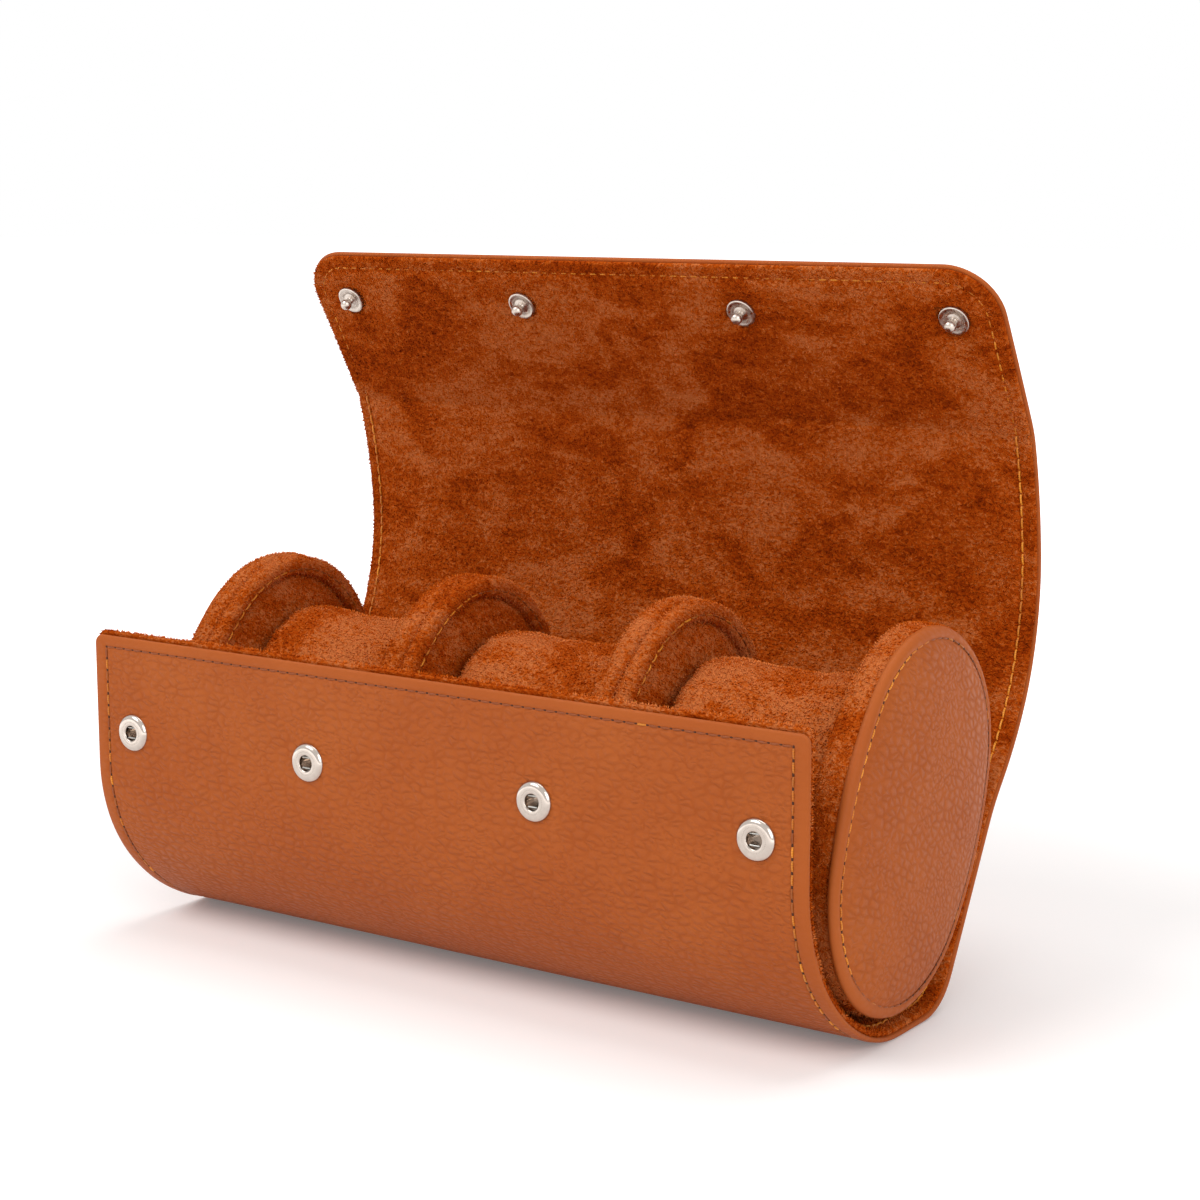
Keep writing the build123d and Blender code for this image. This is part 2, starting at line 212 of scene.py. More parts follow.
def brushedVelvet():
    # Short warp-knit velour, dyed rust, pile about 1 mm: painted shade where it leans away,
    # painted sheen where it was stroked flat, and a soft sheen on its fibre tips.
    material, tree, shader = newMaterial("brushedVelvet")
    place = addNode(tree, "ShaderNodeAttribute", {"attribute_name": "clothPlace"}).outputs["Vector"]
    tip = addNode(tree, "ShaderNodeAttribute", {"attribute_name": "tip"}).outputs["Fac"]
    sheenLift = addNode(tree, "ShaderNodeAttribute", {"attribute_name": "sheenLift"}).outputs["Fac"]
    uneven = {}
    for name in ("patch", "streak", "tuft"):
        size, detail, roughness, distortion = velvet[name]
        uneven[name] = unevenness(tree, place, size, detail, Roughness=roughness, Distortion=distortion)
    # painted sheen and shade: noise in patches, streaks and tufts sets where the velvet is drawn dark or pale
    level = addNode(tree, "ShaderNodeMapRange", smoothly, [
        uneven["patch"], 0.36, 0.64, 0.0, velvet["patchShare"]])
    level = addNode(tree, "ShaderNodeMath", multiplyAdd, [uneven["streak"], velvet["streakShare"], level])
    level = addNode(tree, "ShaderNodeMath", multiplyAdd, [uneven["tuft"], velvet["tuftShare"], level])
    # painted sheen lift, set on the pads and cushions
    level = addNode(tree, "ShaderNodeMath", add, [level, sheenLift])
    share = addNode(tree, "ShaderNodeMapRange", {}, [level, *velvet["levels"], 0.0, 1.0])
    paintedSheenRamp = addNode(tree, "ShaderNodeValToRGB", {}, [share])
    stops = paintedSheenRamp.color_ramp.elements
    stops[0].color, stops[1].color = srgb(velvet["deepColour"]), srgb(velvet["paleColour"])
    for position, key in ((0.40, "midColour"), (0.70, "warmColour")):
        stops.new(position).color = srgb(velvet[key])
    # painted shade: darker towards each fibre's root, and as dark as a root on the cloth under the pile
    rootShade = addNode(tree, "ShaderNodeMapRange", {}, [tip, 0.0, 0.8, 0.45, 0.0])
    shaded = addNode(tree, "ShaderNodeMix", blended, {0: rootShade, 6: paintedSheenRamp, 7: srgb(velvet["rootShadeColour"])})
    bump = addNode(tree, "ShaderNodeBump", {}, {
        "Strength": 1.0, "Distance": velvet["tuftDepth"] * mm, "Height": uneven["tuft"]})
    setInputs(tree, shader, {
        "Base Color": shaded.outputs[2], "Normal": bump, "Roughness": 0.95, "Specular IOR Level": 0.03,
        "Sheen Weight": 0.06, "Sheen Roughness": 0.45, "Sheen Tint": srgb(velvet["sheenColour"])})
    return material


metal = {
    "tumblingMark": 1.11,         # size of the marks, and length and width of the wire's streaks
    "plateColours": ("#CDC1B7", "#B4A99F"),
    "drawnStreak": (20.0, 0.4, 0.4),
    "wireColour": "#A9A7A2",
}


def nickelPlate(name, polish):
    # Brass pressed and barrel plated with bright nickel: a warm grey mirror with
    # faint tumbling marks.
    material, tree, shader = newMaterial(name)
    place = addNode(tree, "ShaderNodeTexCoord").outputs["Object"]
    marks = addNode(tree, "ShaderNodeTexNoise", {}, {
        "Vector": place, "Scale": 1 / (metal["tumblingMark"] * mm), "Detail": 3.0})
    rough = addNode(tree, "ShaderNodeMapRange", smoothly, [marks, 0.3, 0.7, polish, 2 * polish])
    bright, grey = [srgb(text) for text in metal["plateColours"]]
    colour = addNode(tree, "ShaderNodeMix", blended, {0: marks, 6: bright, 7: grey})
    setInputs(tree, shader, {"Base Color": colour.outputs[2], "Roughness": rough, "Metallic": 1.0})
    return material


def springWire():
    # Hard-drawn steel wire, bright, a little darker than the plate round it, with fine
    # streaks along it.
    material, tree, shader = newMaterial("springSteelWire")
    place = addNode(tree, "ShaderNodeTexCoord").outputs["Object"]
    drawn = unevenness(tree, place, [size * mm for size in metal["drawnStreak"]], 2.0)
    rough = addNode(tree, "ShaderNodeMapRange", smoothly, [drawn, 0.3, 0.7, 0.22, 0.38])
    setInputs(tree, shader, {"Base Color": srgb(metal["wireColour"]), "Roughness": rough, "Metallic": 1.0})
    return material


thread = {
    "shade": ((11.0, 11.0, 11.0), 2.0),
    "glint": ((3.4, 3.4, 3.4), 1.0),
    "goldColour": "#CE7418",
    "brightColour": "#F49C28",
    "dullColour": "#8E4314",
    "plyShadow": "#8A4F1E",
    "plyScale": 1.6,              # puts about five marks of the twist on a stitch
    # painted shadow in the needle holes: size of its mottling, and its colours
    "holeMottle": 0.4,
    "holeShadeColours": ("#3A1B0B", "#5A2C12"),
}


def sewingThread():
    # Bonded polyester thread, three ply, glossy gold. On the leather side it is pulled down
    # into the grain and takes the leather's tan, with a painted glint of gold here and there.
    material, tree, shader = newMaterial("bondedPolyesterThread")
    place = addNode(tree, "ShaderNodeAttribute", {"attribute_name": "clothPlace"}).outputs["Vector"]
    along = addNode(tree, "ShaderNodeAttribute", {"attribute_name": "alongThread"}).outputs["Fac"]
    dulling = addNode(tree, "ShaderNodeAttribute", {"attribute_name": "sunk"}).outputs["Fac"]
    uneven = {}
    for name in ("shade", "glint"):
        uneven[name] = unevenness(tree, place, *thread[name])
    bright = addNode(tree, "ShaderNodeMapRange", smoothly, [uneven["shade"], 0.38, 0.62, 0.0, 1.0])
    golden = addNode(tree, "ShaderNodeMix", blended, {
        0: bright, 6: srgb(thread["goldColour"]), 7: srgb(thread["brightColour"])}).outputs[2]
    # painted highlight: the glint noise picks where the thread shows its gold; elsewhere, as far as it is
    # marked sunk, it takes the dull colour, which is the thread's tan on the leather and painted shade on
    # stitches sunk in the pile
    dull = addNode(tree, "ShaderNodeMath", multiplyAdd, [uneven["glint"], -2.0, dulling])
    dull = addNode(tree, "ShaderNodeMapRange", smoothly, [dull, -0.70, -0.30, 0.0, 1.0])
    base = addNode(tree, "ShaderNodeMix", blended, {
        0: dull, 6: golden, 7: srgb(thread["dullColour"])}).outputs[2]
    way = addNode(tree, "ShaderNodeCombineXYZ", {}, [along])
    twist = addNode(tree, "ShaderNodeTexWave", {}, {
        "Vector": way, "Scale": thread["plyScale"], "Distortion": 0.0})
    shadow = addNode(tree, "ShaderNodeMapRange", smoothly, [twist.outputs["Fac"], 0.0, 1.0, 0.35, 0.0])
    colour = addNode(tree, "ShaderNodeMix", blended, {0: shadow, 6: base, 7: srgb(thread["plyShadow"])})
    setInputs(tree, shader, {"Base Color": colour.outputs[2], "Roughness": 0.42, "Specular IOR Level": 0.35})
    return material


def needleHole():
    # Painted shadow: a dark bead stands for the shade in the hole that the needle leaves in the leather at
    # each end of a stitch.
    material, tree, shader = newMaterial("needleHoleShadow")
    place = addNode(tree, "ShaderNodeTexCoord").outputs["Object"]
    mottle = addNode(tree, "ShaderNodeTexNoise", {}, {
        "Vector": place, "Scale": 1 / (thread["holeMottle"] * mm), "Detail": 1.0})
    dark, brown = [srgb(text) for text in thread["holeShadeColours"]]
    colour = addNode(tree, "ShaderNodeMix", blended, {0: mottle, 6: dark, 7: brown})
    setInputs(tree, shader, {"Base Color": colour.outputs[2], "Roughness": 0.9})
    return material


leatherFinish = pebbledLeather()
velvetFinish = brushedVelvet()
nickelFinish = nickelPlate("nickelPlatedBrass", 0.09)
studFinish = nickelPlate("nickelPlatedBrassTumbled", 0.22)
wireFinish = springWire()
threadFinish = sewingThread()
holeFinish = needleHole()
print("materials made")


# meshes

def addPiece(name, mesh, material):
    piece = bpy.data.objects.new(name, mesh)
    scene.collection.objects.link(piece)
    mesh.materials.clear()
    mesh.materials.append(material)
    return piece


def setAttribute(mesh, name, values, kind="FLOAT"):
    attribute = mesh.attributes.get(name) or mesh.attributes.new(name, kind, "POINT")
    key = "vector" if kind == "FLOAT_VECTOR" else "value"
    attribute.data.foreach_set(key, np.asarray(values, np.float32).ravel())


sharpFrom = math.radians(50)      # edges that turn more than this stay sharp


def closedMesh(name, points, faces, place, rim):
    # points in millimetres; doubles within 0.001 mm are merged and the faces turned outwards
    mesh = bpy.data.meshes.new(name)
    mesh.from_pydata([tuple(p) for p in np.asarray(points) * mm], [], faces)
    setAttribute(mesh, "clothPlace", place, "FLOAT_VECTOR")
    setAttribute(mesh, "rimDistance", rim)
    work = bmesh.new()
    work.from_mesh(mesh)
    bmesh.ops.remove_doubles(work, verts=work.verts, dist=1e-6)
    bmesh.ops.dissolve_degenerate(work, edges=work.edges, dist=1e-7)
    bmesh.ops.recalc_face_normals(work, faces=work.faces)
    work.to_mesh(mesh)
    work.free()
    mesh.shade_smooth()
    mesh.set_sharp_from_angle(angle=sharpFrom)
    return mesh


def evaluated(piece, name):
    # the piece with its modifiers applied, as a plain mesh
    bpy.context.view_layer.update()
    graph = bpy.context.evaluated_depsgraph_get()
    mesh = bpy.data.meshes.new_from_object(piece.evaluated_get(graph))
    mesh.name = name
    return mesh


def applyModifiers(piece):
    # the modified mesh replaces the piece's own
    mesh = evaluated(piece, piece.name)
    piece.modifiers.clear()
    piece.data = mesh


def meshFrom(work, name):
    # a new mesh from the finished bmesh
    mesh = bpy.data.meshes.new(name)
    work.to_mesh(mesh)
    work.free()
    return mesh


def vectorsOf(items, key):
    flat = np.zeros(len(items) * 3, np.float32)
    items.foreach_get(key, flat)
    return flat.reshape(-1, 3)


def coordinates(mesh):
    return vectorsOf(mesh.vertices, "co").astype(float)


def moveTo(mesh, points):
    # points in metres
    mesh.vertices.foreach_set("co", points.astype(np.float32).ravel())
    mesh.update()


# the wrap: one sheet bent along its length, split where nothing bends

wrap = {
    "halfWidth": 100.0,
    # length and turn of each stretch of the leather, from the front top edge to the flap's end
    "runs": [(31.5, 0), (29.2, 40.2), (21.4, 24.1), (14.9, 25.7), (12.7, 0), (14.8, 60.5), (41.6, 0),
             (28.0, 20), (29.0, 24), (33.0, 14), (44.8, 2)],
    "floorRun": 4,                # the stretch that lies flat on the floor
    "heelAt": 8.2,                # where the floor ends and the heel rises
    # each fold: the two bodies, its place along the leather, its bend and half its reach
    "folds": {
        "Knee": ("front_upper", "front_lower", 36.9, 0.0, 7.0),
        "Toe": ("front_lower", "base", 66.9, 0.0, 6.0),
        "Back": ("base", "lid_back", 166.1, -15.0, 9.0),
        "LidLow": ("lid_back", "lid_middle", 194.1, 2.0, 8.0),
        "LidHigh": ("lid_middle", "lid_top", 223.1, 2.0, 8.0),
        "Flap": ("lid_top", "flap", 256.1, 12.5, 5.0),
    },
    "splits": [0.0, 51.9, 101.5, 180.1, 208.6, 239.6, 300.9],
    "frontCorner": 2.2,
    "flapCorner": 13.0,
    "backing": 2.0,               # leather and stiffener, in the base and the front
    "lidBacking": 1.5,
    "lining": 1.0,
    "liningSetback": 0.5,
    "liningRise": 1.0,            # the velvet stands above the leather along the front edge
    "edgeThickness": 1.1,         # the turned leather alone, beyond the stiffener
    "edgeReach": 4.5,
    "stitchInset": 3.8,
    "frontStitchInset": 2.8,
    "softening": 5.0,             # length over which a bend begins
    "bendDepth": 1.5,             # the folds bend about the middle of the stiffener
    # the faces: how far the turned edge bulges, and how far inside the border
    "puff": 0.14,
    "puffAt": 1.9,
    "leatherDrawn": (0.38, 0.42),      # depth and half width of the groove along the stitches
    "velvetDrawn": (0.45, 0.9),
    "velvetRise": 0.15,
    "leatherSlack": (0.16, 31, 23),    # height of the waves, and their width and length
    "velvetSlack": (0.35, 24, 17),
    "studPress": (0.6, 3.6, 1.6),      # depth, start and reach of the velvet pressed round a stud
    "foldCrease": (0.5, 0.9),          # depth and half width of the crease across the flap's fold
}
edgeSteps = [0.0, 0.05, 0.2, 0.45, 0.8, 1.2, 1.8, 2.6, 3.2, 3.6, 4.0, 4.4, 4.8, 5.4, 6.5, 8.0]
sheetStep = 1.6


def wrapLine():
    # place and heading every quarter of a millimetre along the leather's outer face
    step = 0.25
    total = sum(length for length, turn in wrap["runs"])
    s = np.arange(0, total + step / 2, step)
    rate = np.zeros_like(s)
    reached = 0.0
    for length, turn in wrap["runs"]:
        rate[(s >= reached) & (s < reached + length)] = math.radians(turn) / length
        reached += length
    window = np.hanning(int(wrap["softening"] / step) + 2)
    rate = np.convolve(np.pad(rate, len(window), "edge"), window / window.sum(), "same")
    rate = rate[len(window):-len(window)]
    for _, _, at, bend, reach in wrap["folds"].values():
        near = np.clip((s - at) / reach, -1, 1)
        rate += math.radians(bend) * (1 + np.cos(math.pi * near)) / 2 / reach
    heading = np.concatenate([[0], np.cumsum((rate[1:] + rate[:-1]) / 2 * step)])
    heel = sum(length for length, turn in wrap["runs"][:wrap["floorRun"] + 1])
    middle = heel - wrap["runs"][wrap["floorRun"]][0] / 2
    heading -= np.interp(middle, s, heading)
    half = (heading[1:] + heading[:-1]) / 2
    y = np.concatenate([[0], np.cumsum(np.cos(half) * step)])
    z = np.concatenate([[0], np.cumsum(np.sin(half) * step)])
    return s, y - np.interp(heel, s, y) + wrap["heelAt"], z - np.interp(middle, s, z), heading


lineS, lineY, lineZ, lineHeading = wrapLine()
wrapLength = lineS[-1]


def wrapPoint(x, s, depth):
    # a point of the flat sheet, put where the bent wrap has it; depth is inwards
    turned = np.interp(s, lineS, lineHeading)
    beyond = np.minimum(s, 0.0)
    y = np.interp(s, lineS, lineY) + beyond * np.cos(turned) - depth * np.sin(turned)
    z = np.interp(s, lineS, lineZ) + beyond * np.sin(turned) + depth * np.cos(turned)
    return np.stack([np.broadcast_to(x, y.shape), y, z], axis=-1)


def wrapSpot(x, s, depth):
    # the same for a single point
    return wrapPoint(np.array([x]), np.array([s]), depth)[0]


def backingAt(s):
    # thickness of leather and stiffener together
    at, reach = wrap["folds"]["Back"][2], wrap["folds"]["Back"][4]
    return np.interp(s, [at - reach, at + reach], [wrap["backing"], wrap["lidBacking"]])


def backingNear(s, distance):
    # leather and stiffener at a point that far inside the leather's border
    inside = np.clip(distance / wrap["edgeReach"], 0, 1)
    inside = inside * inside * (3 - 2 * inside)
    return wrap["edgeThickness"] + (backingAt(s) - wrap["edgeThickness"]) * inside


def frontEdge(setback):
    # where the leather starts, and the lining, which stands above it
    return -wrap["liningRise"] if setback > 0 else 0.0


def borderDistance(x, s, setback):
    # how far inside the sheet's border a point of the flat pattern lies
    side = wrap["halfWidth"] - setback - np.abs(x)
    front, end = s - frontEdge(setback), wrapLength - setback - s
    corner = np.where(front < end, wrap["frontCorner"], wrap["flapCorner"]) - setback
    near = np.minimum(front, end)
    rounded = corner - np.hypot(corner - side, corner - near)
    return np.where((side < corner) & (near < corner), rounded, np.minimum(side, near))


def seamGroove(x, s, distance, setback, width):
    # 1 along the line of stitches, falling to 0 beside it
    lifted = wrap["stitchInset"] - wrap["frontStitchInset"]
    nearFront = np.minimum(wrap["halfWidth"] - np.abs(x), s + lifted)
    inset = np.where(s < wrap["splits"][1], nearFront, distance + setback)
    return np.exp(-((inset - wrap["stitchInset"]) / width) ** 2)


def halfWidthAt(s, setback):
    # half the sheet's width, less where its corners are rounded
    corner = np.where(s < wrapLength / 2, wrap["frontCorner"], wrap["flapCorner"]) - setback
    near = np.minimum(s - frontEdge(setback), wrapLength - s - setback)
    short = np.clip(corner - near, 0, None)
    return wrap["halfWidth"] - setback - corner + np.sqrt(np.clip(corner**2 - short**2, 0, None))


def sheetGrid(first, last, setback):
    # rows and columns of the flat pattern, close together near its border
    inner = np.arange(edgeSteps[-1] + sheetStep, wrap["halfWidth"], sheetStep)
    columns = wrap["halfWidth"] - setback - np.concatenate([edgeSteps, inner])
    columns = np.concatenate([-columns[columns > 0.4], columns[columns > 0.4][::-1]])
    low, high = frontEdge(setback) if first <= 0 else first, min(last, wrapLength - setback)
    rows = set(np.linspace(low, high, int((high - low) / sheetStep) + 1))
    for step in edgeSteps:
        rows |= {s for s in (frontEdge(setback) + step, wrapLength - setback - step) if low <= s <= high}
    rows = np.array(sorted(rows))
    keep = np.concatenate([[True], np.diff(rows) > 0.02])
    rows = rows[keep]
    rows[-1] = high
    fullWidth = wrap["halfWidth"] - setback
    x = columns[None, :] * (halfWidthAt(rows, setback) / fullWidth)[:, None]
    return x, np.repeat(rows[:, None], len(columns), axis=1)


def sheetMesh(name, first, last, setback, faceDepths):
    # a closed sheet: its two faces meet in a rounded edge, or in a cap at a split
    x, s = sheetGrid(first, last, setback)
    distance = np.clip(borderDistance(x, s, setback), 0, None)
    under, over = faceDepths(x, s, distance)
    count = x.size
    rows, columns = x.shape
    points = np.concatenate([wrapPoint(x, s, depth).reshape(-1, 3) for depth in (under, over)])
    index = np.arange(count).reshape(rows, columns)
    faces = []
    for side in (0, count):
        grid = index + side
        corners = [grid[:-1, :-1], grid[:-1, 1:], grid[1:, 1:], grid[1:, :-1]]
        faces += np.stack(corners, -1).reshape(-1, 4).tolist()
    for row, border in ((0, first > 0), (-1, last < wrapLength)):
        if border:
            edge = index[row]
            faces += np.stack([edge[:-1], edge[1:], edge[1:] + count, edge[:-1] + count], -1).tolist()
    flat = np.stack([x, s, np.zeros_like(x)], -1).reshape(-1, 3)
    place = np.concatenate([flat, flat])
    rim = np.concatenate([distance.ravel(), distance.ravel()])
    return closedMesh(name, points, faces, place, rim)


def roundedFaces(distance, under, over):
    # the two faces meet in a half circle at the border
    half = (over - under) / 2
    short = half - np.minimum(distance, half)
    drop = half - np.sqrt(np.clip(half**2 - short**2, 0, None))
    return under + drop, over - drop


def waves(x, s, width, length):
    # slow, smooth unevenness of the flat sheet, between -1 and 1
    found = [noise.noise(Vector((a / width, b / length, 3.0))) for a, b in zip(x.ravel(), s.ravel())]
    return np.array(found).reshape(x.shape)


def leatherDepths(x, s, distance):
    # puffed at the turned edge, drawn in along the stitches
    under, over = roundedFaces(distance, np.zeros_like(s), backingNear(s, distance))
    puff = wrap["puff"] * np.exp(-(distance - wrap["puffAt"]) ** 2)
    depth, width = wrap["leatherDrawn"]
    drawn = depth * seamGroove(x, s, distance, 0.0, width)
    height, wide, long = wrap["leatherSlack"]
    slack = height * waves(x, s, wide, long) * np.clip((distance - 4) / 10, 0, 1)
    return under + (drawn - puff) * np.clip(distance, 0, 1) + slack, over


def liningDepths(x, s, distance):
    # drawn in along the stitches, pressed down round the studs, creased across the flap's fold
    backing = backingNear(s, distance + wrap["liningSetback"])
    under, over = roundedFaces(distance, backing, backing + wrap["lining"] + wrap["velvetRise"])
    depth, width = wrap["velvetDrawn"]
    drawn = depth * seamGroove(x, s, distance, wrap["liningSetback"], width)
    depth, start, reach = wrap["studPress"]
    pressed = depth * np.exp(-((np.clip(studDistance(x, s) - start, 0, None) / reach) ** 2))
    depth, width = wrap["foldCrease"]
    wavering = s - wrap["folds"]["Flap"][2] - 1.2 * np.sin(x / 31)
    crease = depth * np.exp(-(wavering / width) ** 2) * np.clip((np.abs(x + 14) - 20) / 30, 0.25, 1)
    height, wide, long = wrap["velvetSlack"]
    slack = height * waves(x, s, wide, long) * np.clip(distance / 6.0, 0, 1)
    return under, over - drawn - crease - pressed + slack


snaps = {
    "outerX": 87.8,
    "innerX": 32.1,
    "socketAt": 23.2,             # from the front edge, along the leather
    "studFromEnd": 13.5,
    "eyeletHole": 2.35,
    "studHole": 3.3,
    "rivetHole": 1.35,
}
snapX = [-snaps["outerX"], -snaps["innerX"], snaps["innerX"], snaps["outerX"]]


def studDistance(x, s):
    # from the nearest stud's middle, in the flat pattern
    aside = np.min([np.abs(x - at) for at in snapX], axis=0)
    return np.hypot(aside, s - (wrapLength - snaps["studFromEnd"]))


def sheetAxis(s):
    # point on the leather's outer face and the direction into the wrap
    outer, inner = [wrapSpot(0.0, s, depth) for depth in (0.0, 1.0)]
    return Vector(outer), Vector(inner - outer).normalized()


def cutSnapHoles(piece, s, radius):
    # four round holes through the sheet, hidden under the snaps' flanges
    centre, inward = sheetAxis(s)
    turn = Vector((0, 0, 1)).rotation_difference(inward).to_matrix().to_4x4()
    work = bmesh.new()
    for x in snapX:
        made = bmesh.ops.create_cone(work, cap_ends=True, segments=32, radius1=radius * mm,
                                     radius2=radius * mm, depth=16 * mm)
        bmesh.ops.transform(work, matrix=turn, verts=made["verts"])
        bmesh.ops.translate(work, vec=(centre + Vector((x, 0, 0))) * mm, verts=made["verts"])
    cutter = bpy.data.objects.new("snapHoles", meshFrom(work, "snapHoles"))
    scene.collection.objects.link(cutter)
    cut = piece.modifiers.new("snapHoles", "BOOLEAN")
    cut.object, cut.operation, cut.solver = cutter, "DIFFERENCE", "EXACT"
    applyModifiers(piece)
    bpy.data.objects.remove(cutter)


def bendWith(piece):
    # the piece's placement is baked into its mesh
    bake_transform(piece)


# leather and lining pieces stand for the nodes whose panels start in their stretch
panelNodes = {"Knee": ["front_upper"], "Toe": ["front_lower"], "Back": ["base"], "LidLow": ["lid_back"],
              "LidHigh": ["lid_middle"], "Flap": ["lid_top", "flap"]}
leatherPieces, liningPieces = {}, {}
for number, fold in enumerate(wrap["folds"]):
    first, last = wrap["splits"][number], wrap["splits"][number + 1]
    shellMesh = sheetMesh("leather" + fold, first, last, 0.0, leatherDepths)
    shell = addPiece("leather" + fold, shellMesh, leatherFinish)
    liningMesh = sheetMesh("lining" + fold, first, last, wrap["liningSetback"], liningDepths)
    lining = addPiece("lining" + fold, liningMesh, velvetFinish)
    for s, outerRadius, innerRadius in (
        (snaps["socketAt"], snaps["eyeletHole"], snaps["eyeletHole"]),
        (wrapLength - snaps["studFromEnd"], snaps["rivetHole"], snaps["studHole"]),
    ):
        if first <= s < last:
            cutSnapHoles(shell, s, outerRadius)
            cutSnapHoles(lining, s, innerRadius)
    for node in panelNodes[fold]:
        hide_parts(node + "_leather", node + "_board")
        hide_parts(node + "_lining")
    leatherPieces[fold], liningPieces[fold] = shell, lining
print("wrap made")


# stitches: points that carry a direction, and one thread mesh repeated on them

def newTree(name, inputs):
    tree = bpy.data.node_groups.new(name, "GeometryNodeTree")
    tree.interface.new_socket(name="Geometry", in_out="INPUT", socket_type="NodeSocketGeometry")
    for label, kind, value in inputs:
        socket = tree.interface.new_socket(name=label, in_out="INPUT", socket_type=kind)
        if value is not None:
            socket.default_value = value
    tree.interface.new_socket(name="Geometry", in_out="OUTPUT", socket_type="NodeSocketGeometry")
    return tree, addNode(tree, "NodeGroupInput"), addNode(tree, "NodeGroupOutput")


def repeatOnPoints(tree, given, out, points, shape, turn, scale=(1, 1, 1)):
    # the shape on every point, made real, with its material
    spread = addNode(tree, "GeometryNodeInstanceOnPoints", {}, {
        "Points": points, "Instance": shape, "Rotation": turn, "Scale": scale})
    real = addNode(tree, "GeometryNodeRealizeInstances", {}, [spread])
    painted = addNode(tree, "GeometryNodeSetMaterial", {}, {
        "Geometry": real, "Material": given.outputs["Material"]})
    setInputs(tree, out, [painted])


def markedTurn(tree):
    # the rotation that a stitch's mark carries in its two directions
    up, along = [addNode(tree, "GeometryNodeInputNamedAttribute", {
        "data_type": "FLOAT_VECTOR"}, {"Name": name}) for name in ("up", "along")]
    return addNode(tree, "FunctionNodeAxesToRotation", {"primary_axis": "Z", "secondary_axis": "X"}, {
        "Primary Axis": up, "Secondary Axis": along})


def stitchTree():
    # a short length of thread whose two ends dive into the cloth
    tree, given, out = newTree("threadStitch", [
        ("Stitch Length", "NodeSocketFloat", 2.3 * mm),
        ("Thread Radius", "NodeSocketFloat", 0.22 * mm),
        ("Dive", "NodeSocketFloat", 0.35 * mm),
        ("Material", "NodeSocketMaterial", None),
    ])
    half = addNode(tree, "ShaderNodeMath", multiply, [given.outputs["Stitch Length"], 0.5])
    back = addNode(tree, "ShaderNodeMath", multiply, [half, -1.0])
    start, end = [addNode(tree, "ShaderNodeCombineXYZ", {}, [x]) for x in (back, half)]
    line = addNode(tree, "GeometryNodeCurvePrimitiveLine", {}, {"Start": start, "End": end})
    points = addNode(tree, "GeometryNodeResampleCurve", {}, {"Curve": line, "Count": 8})
    factor = addNode(tree, "GeometryNodeSplineParameter").outputs["Factor"]
    across = addNode(tree, "ShaderNodeMath", multiplyAdd, [factor, 2.0, -1.0])
    across = addNode(tree, "ShaderNodeMath", {"operation": "ABSOLUTE"}, [across])
    fourth = addNode(tree, "ShaderNodeMath", {"operation": "POWER"}, [across, 4.0])
    fall = addNode(tree, "ShaderNodeMath", multiply, [fourth, given.outputs["Dive"]])
    fall = addNode(tree, "ShaderNodeMath", multiply, [fall, -1.0])
    down = addNode(tree, "ShaderNodeCombineXYZ", {}, {"Z": fall})
    bowed = addNode(tree, "GeometryNodeSetPosition", {}, {"Geometry": points, "Offset": down})
    kept = addNode(tree, "GeometryNodeStoreNamedAttribute", {"data_type": "FLOAT", "domain": "POINT"}, {
        "Geometry": bowed, "Name": "alongThread", "Value": factor})
    ring = addNode(tree, "GeometryNodeCurvePrimitiveCircle", {}, {
        "Resolution": 6, "Radius": given.outputs["Thread Radius"]})
    tube = addNode(tree, "GeometryNodeCurveToMesh", {}, {
        "Curve": kept, "Profile Curve": ring, "Fill Caps": True})
    smooth = addNode(tree, "GeometryNodeSetShadeSmooth", {}, {"Geometry": tube})
    repeatOnPoints(tree, given, out, given.outputs["Geometry"], smooth, markedTurn(tree))
    return tree


def holeTree():
    # a flat bead, longer along the seam, carrying the painted shadow of a needle hole
    tree, given, out = newTree("needleHole", [
        ("Hole Radius", "NodeSocketFloat", 0.26 * mm),
        ("Material", "NodeSocketMaterial", None),
    ])
    bead = addNode(tree, "GeometryNodeMeshIcoSphere", {}, {
        "Radius": given.outputs["Hole Radius"], "Subdivisions": 1})
    flat = addNode(tree, "GeometryNodeTransform", {}, {"Geometry": bead, "Scale": (1.6, 1.0, 0.4)})
    smooth = addNode(tree, "GeometryNodeSetShadeSmooth", {}, {"Geometry": flat})
    repeatOnPoints(tree, given, out, given.outputs["Geometry"], smooth, markedTurn(tree))
    return tree


def socketName(tree, label):
    # a modifier knows the tree's inputs by their identifiers
    return next(s.identifier for s in tree.interface.items_tree if s.name == label and s.in_out == "INPUT")


def grown(name, mesh, tree, values, material):
    # the tree's result on a mesh, as a plain mesh object at the origin
    carrier = bpy.data.objects.new(name + "Carrier", mesh)
    scene.collection.objects.link(carrier)
    modifier = carrier.modifiers.new(name, "NODES")
    modifier.node_group = tree
    for label, value in {**values, "Material": material}.items():
        modifier[socketName(tree, label)] = value
    result = evaluated(carrier, name)
    bpy.data.objects.remove(carrier)
    return addPiece(name, result, material)


def markedPoints(name, marks):
    # a mark is a point in millimetres, the directions along and up, its place in the cloth
    # and how sunk it is
    mesh = bpy.data.meshes.new(name)
    mesh.from_pydata([tuple(m[0] * mm) for m in marks], [], [])
    for label, column in (("along", 1), ("up", 2), ("clothPlace", 3)):
        setAttribute(mesh, label, [tuple(m[column]) for m in marks], "FLOAT_VECTOR")
    setAttribute(mesh, "sunk", [m[4] for m in marks])
    return mesh


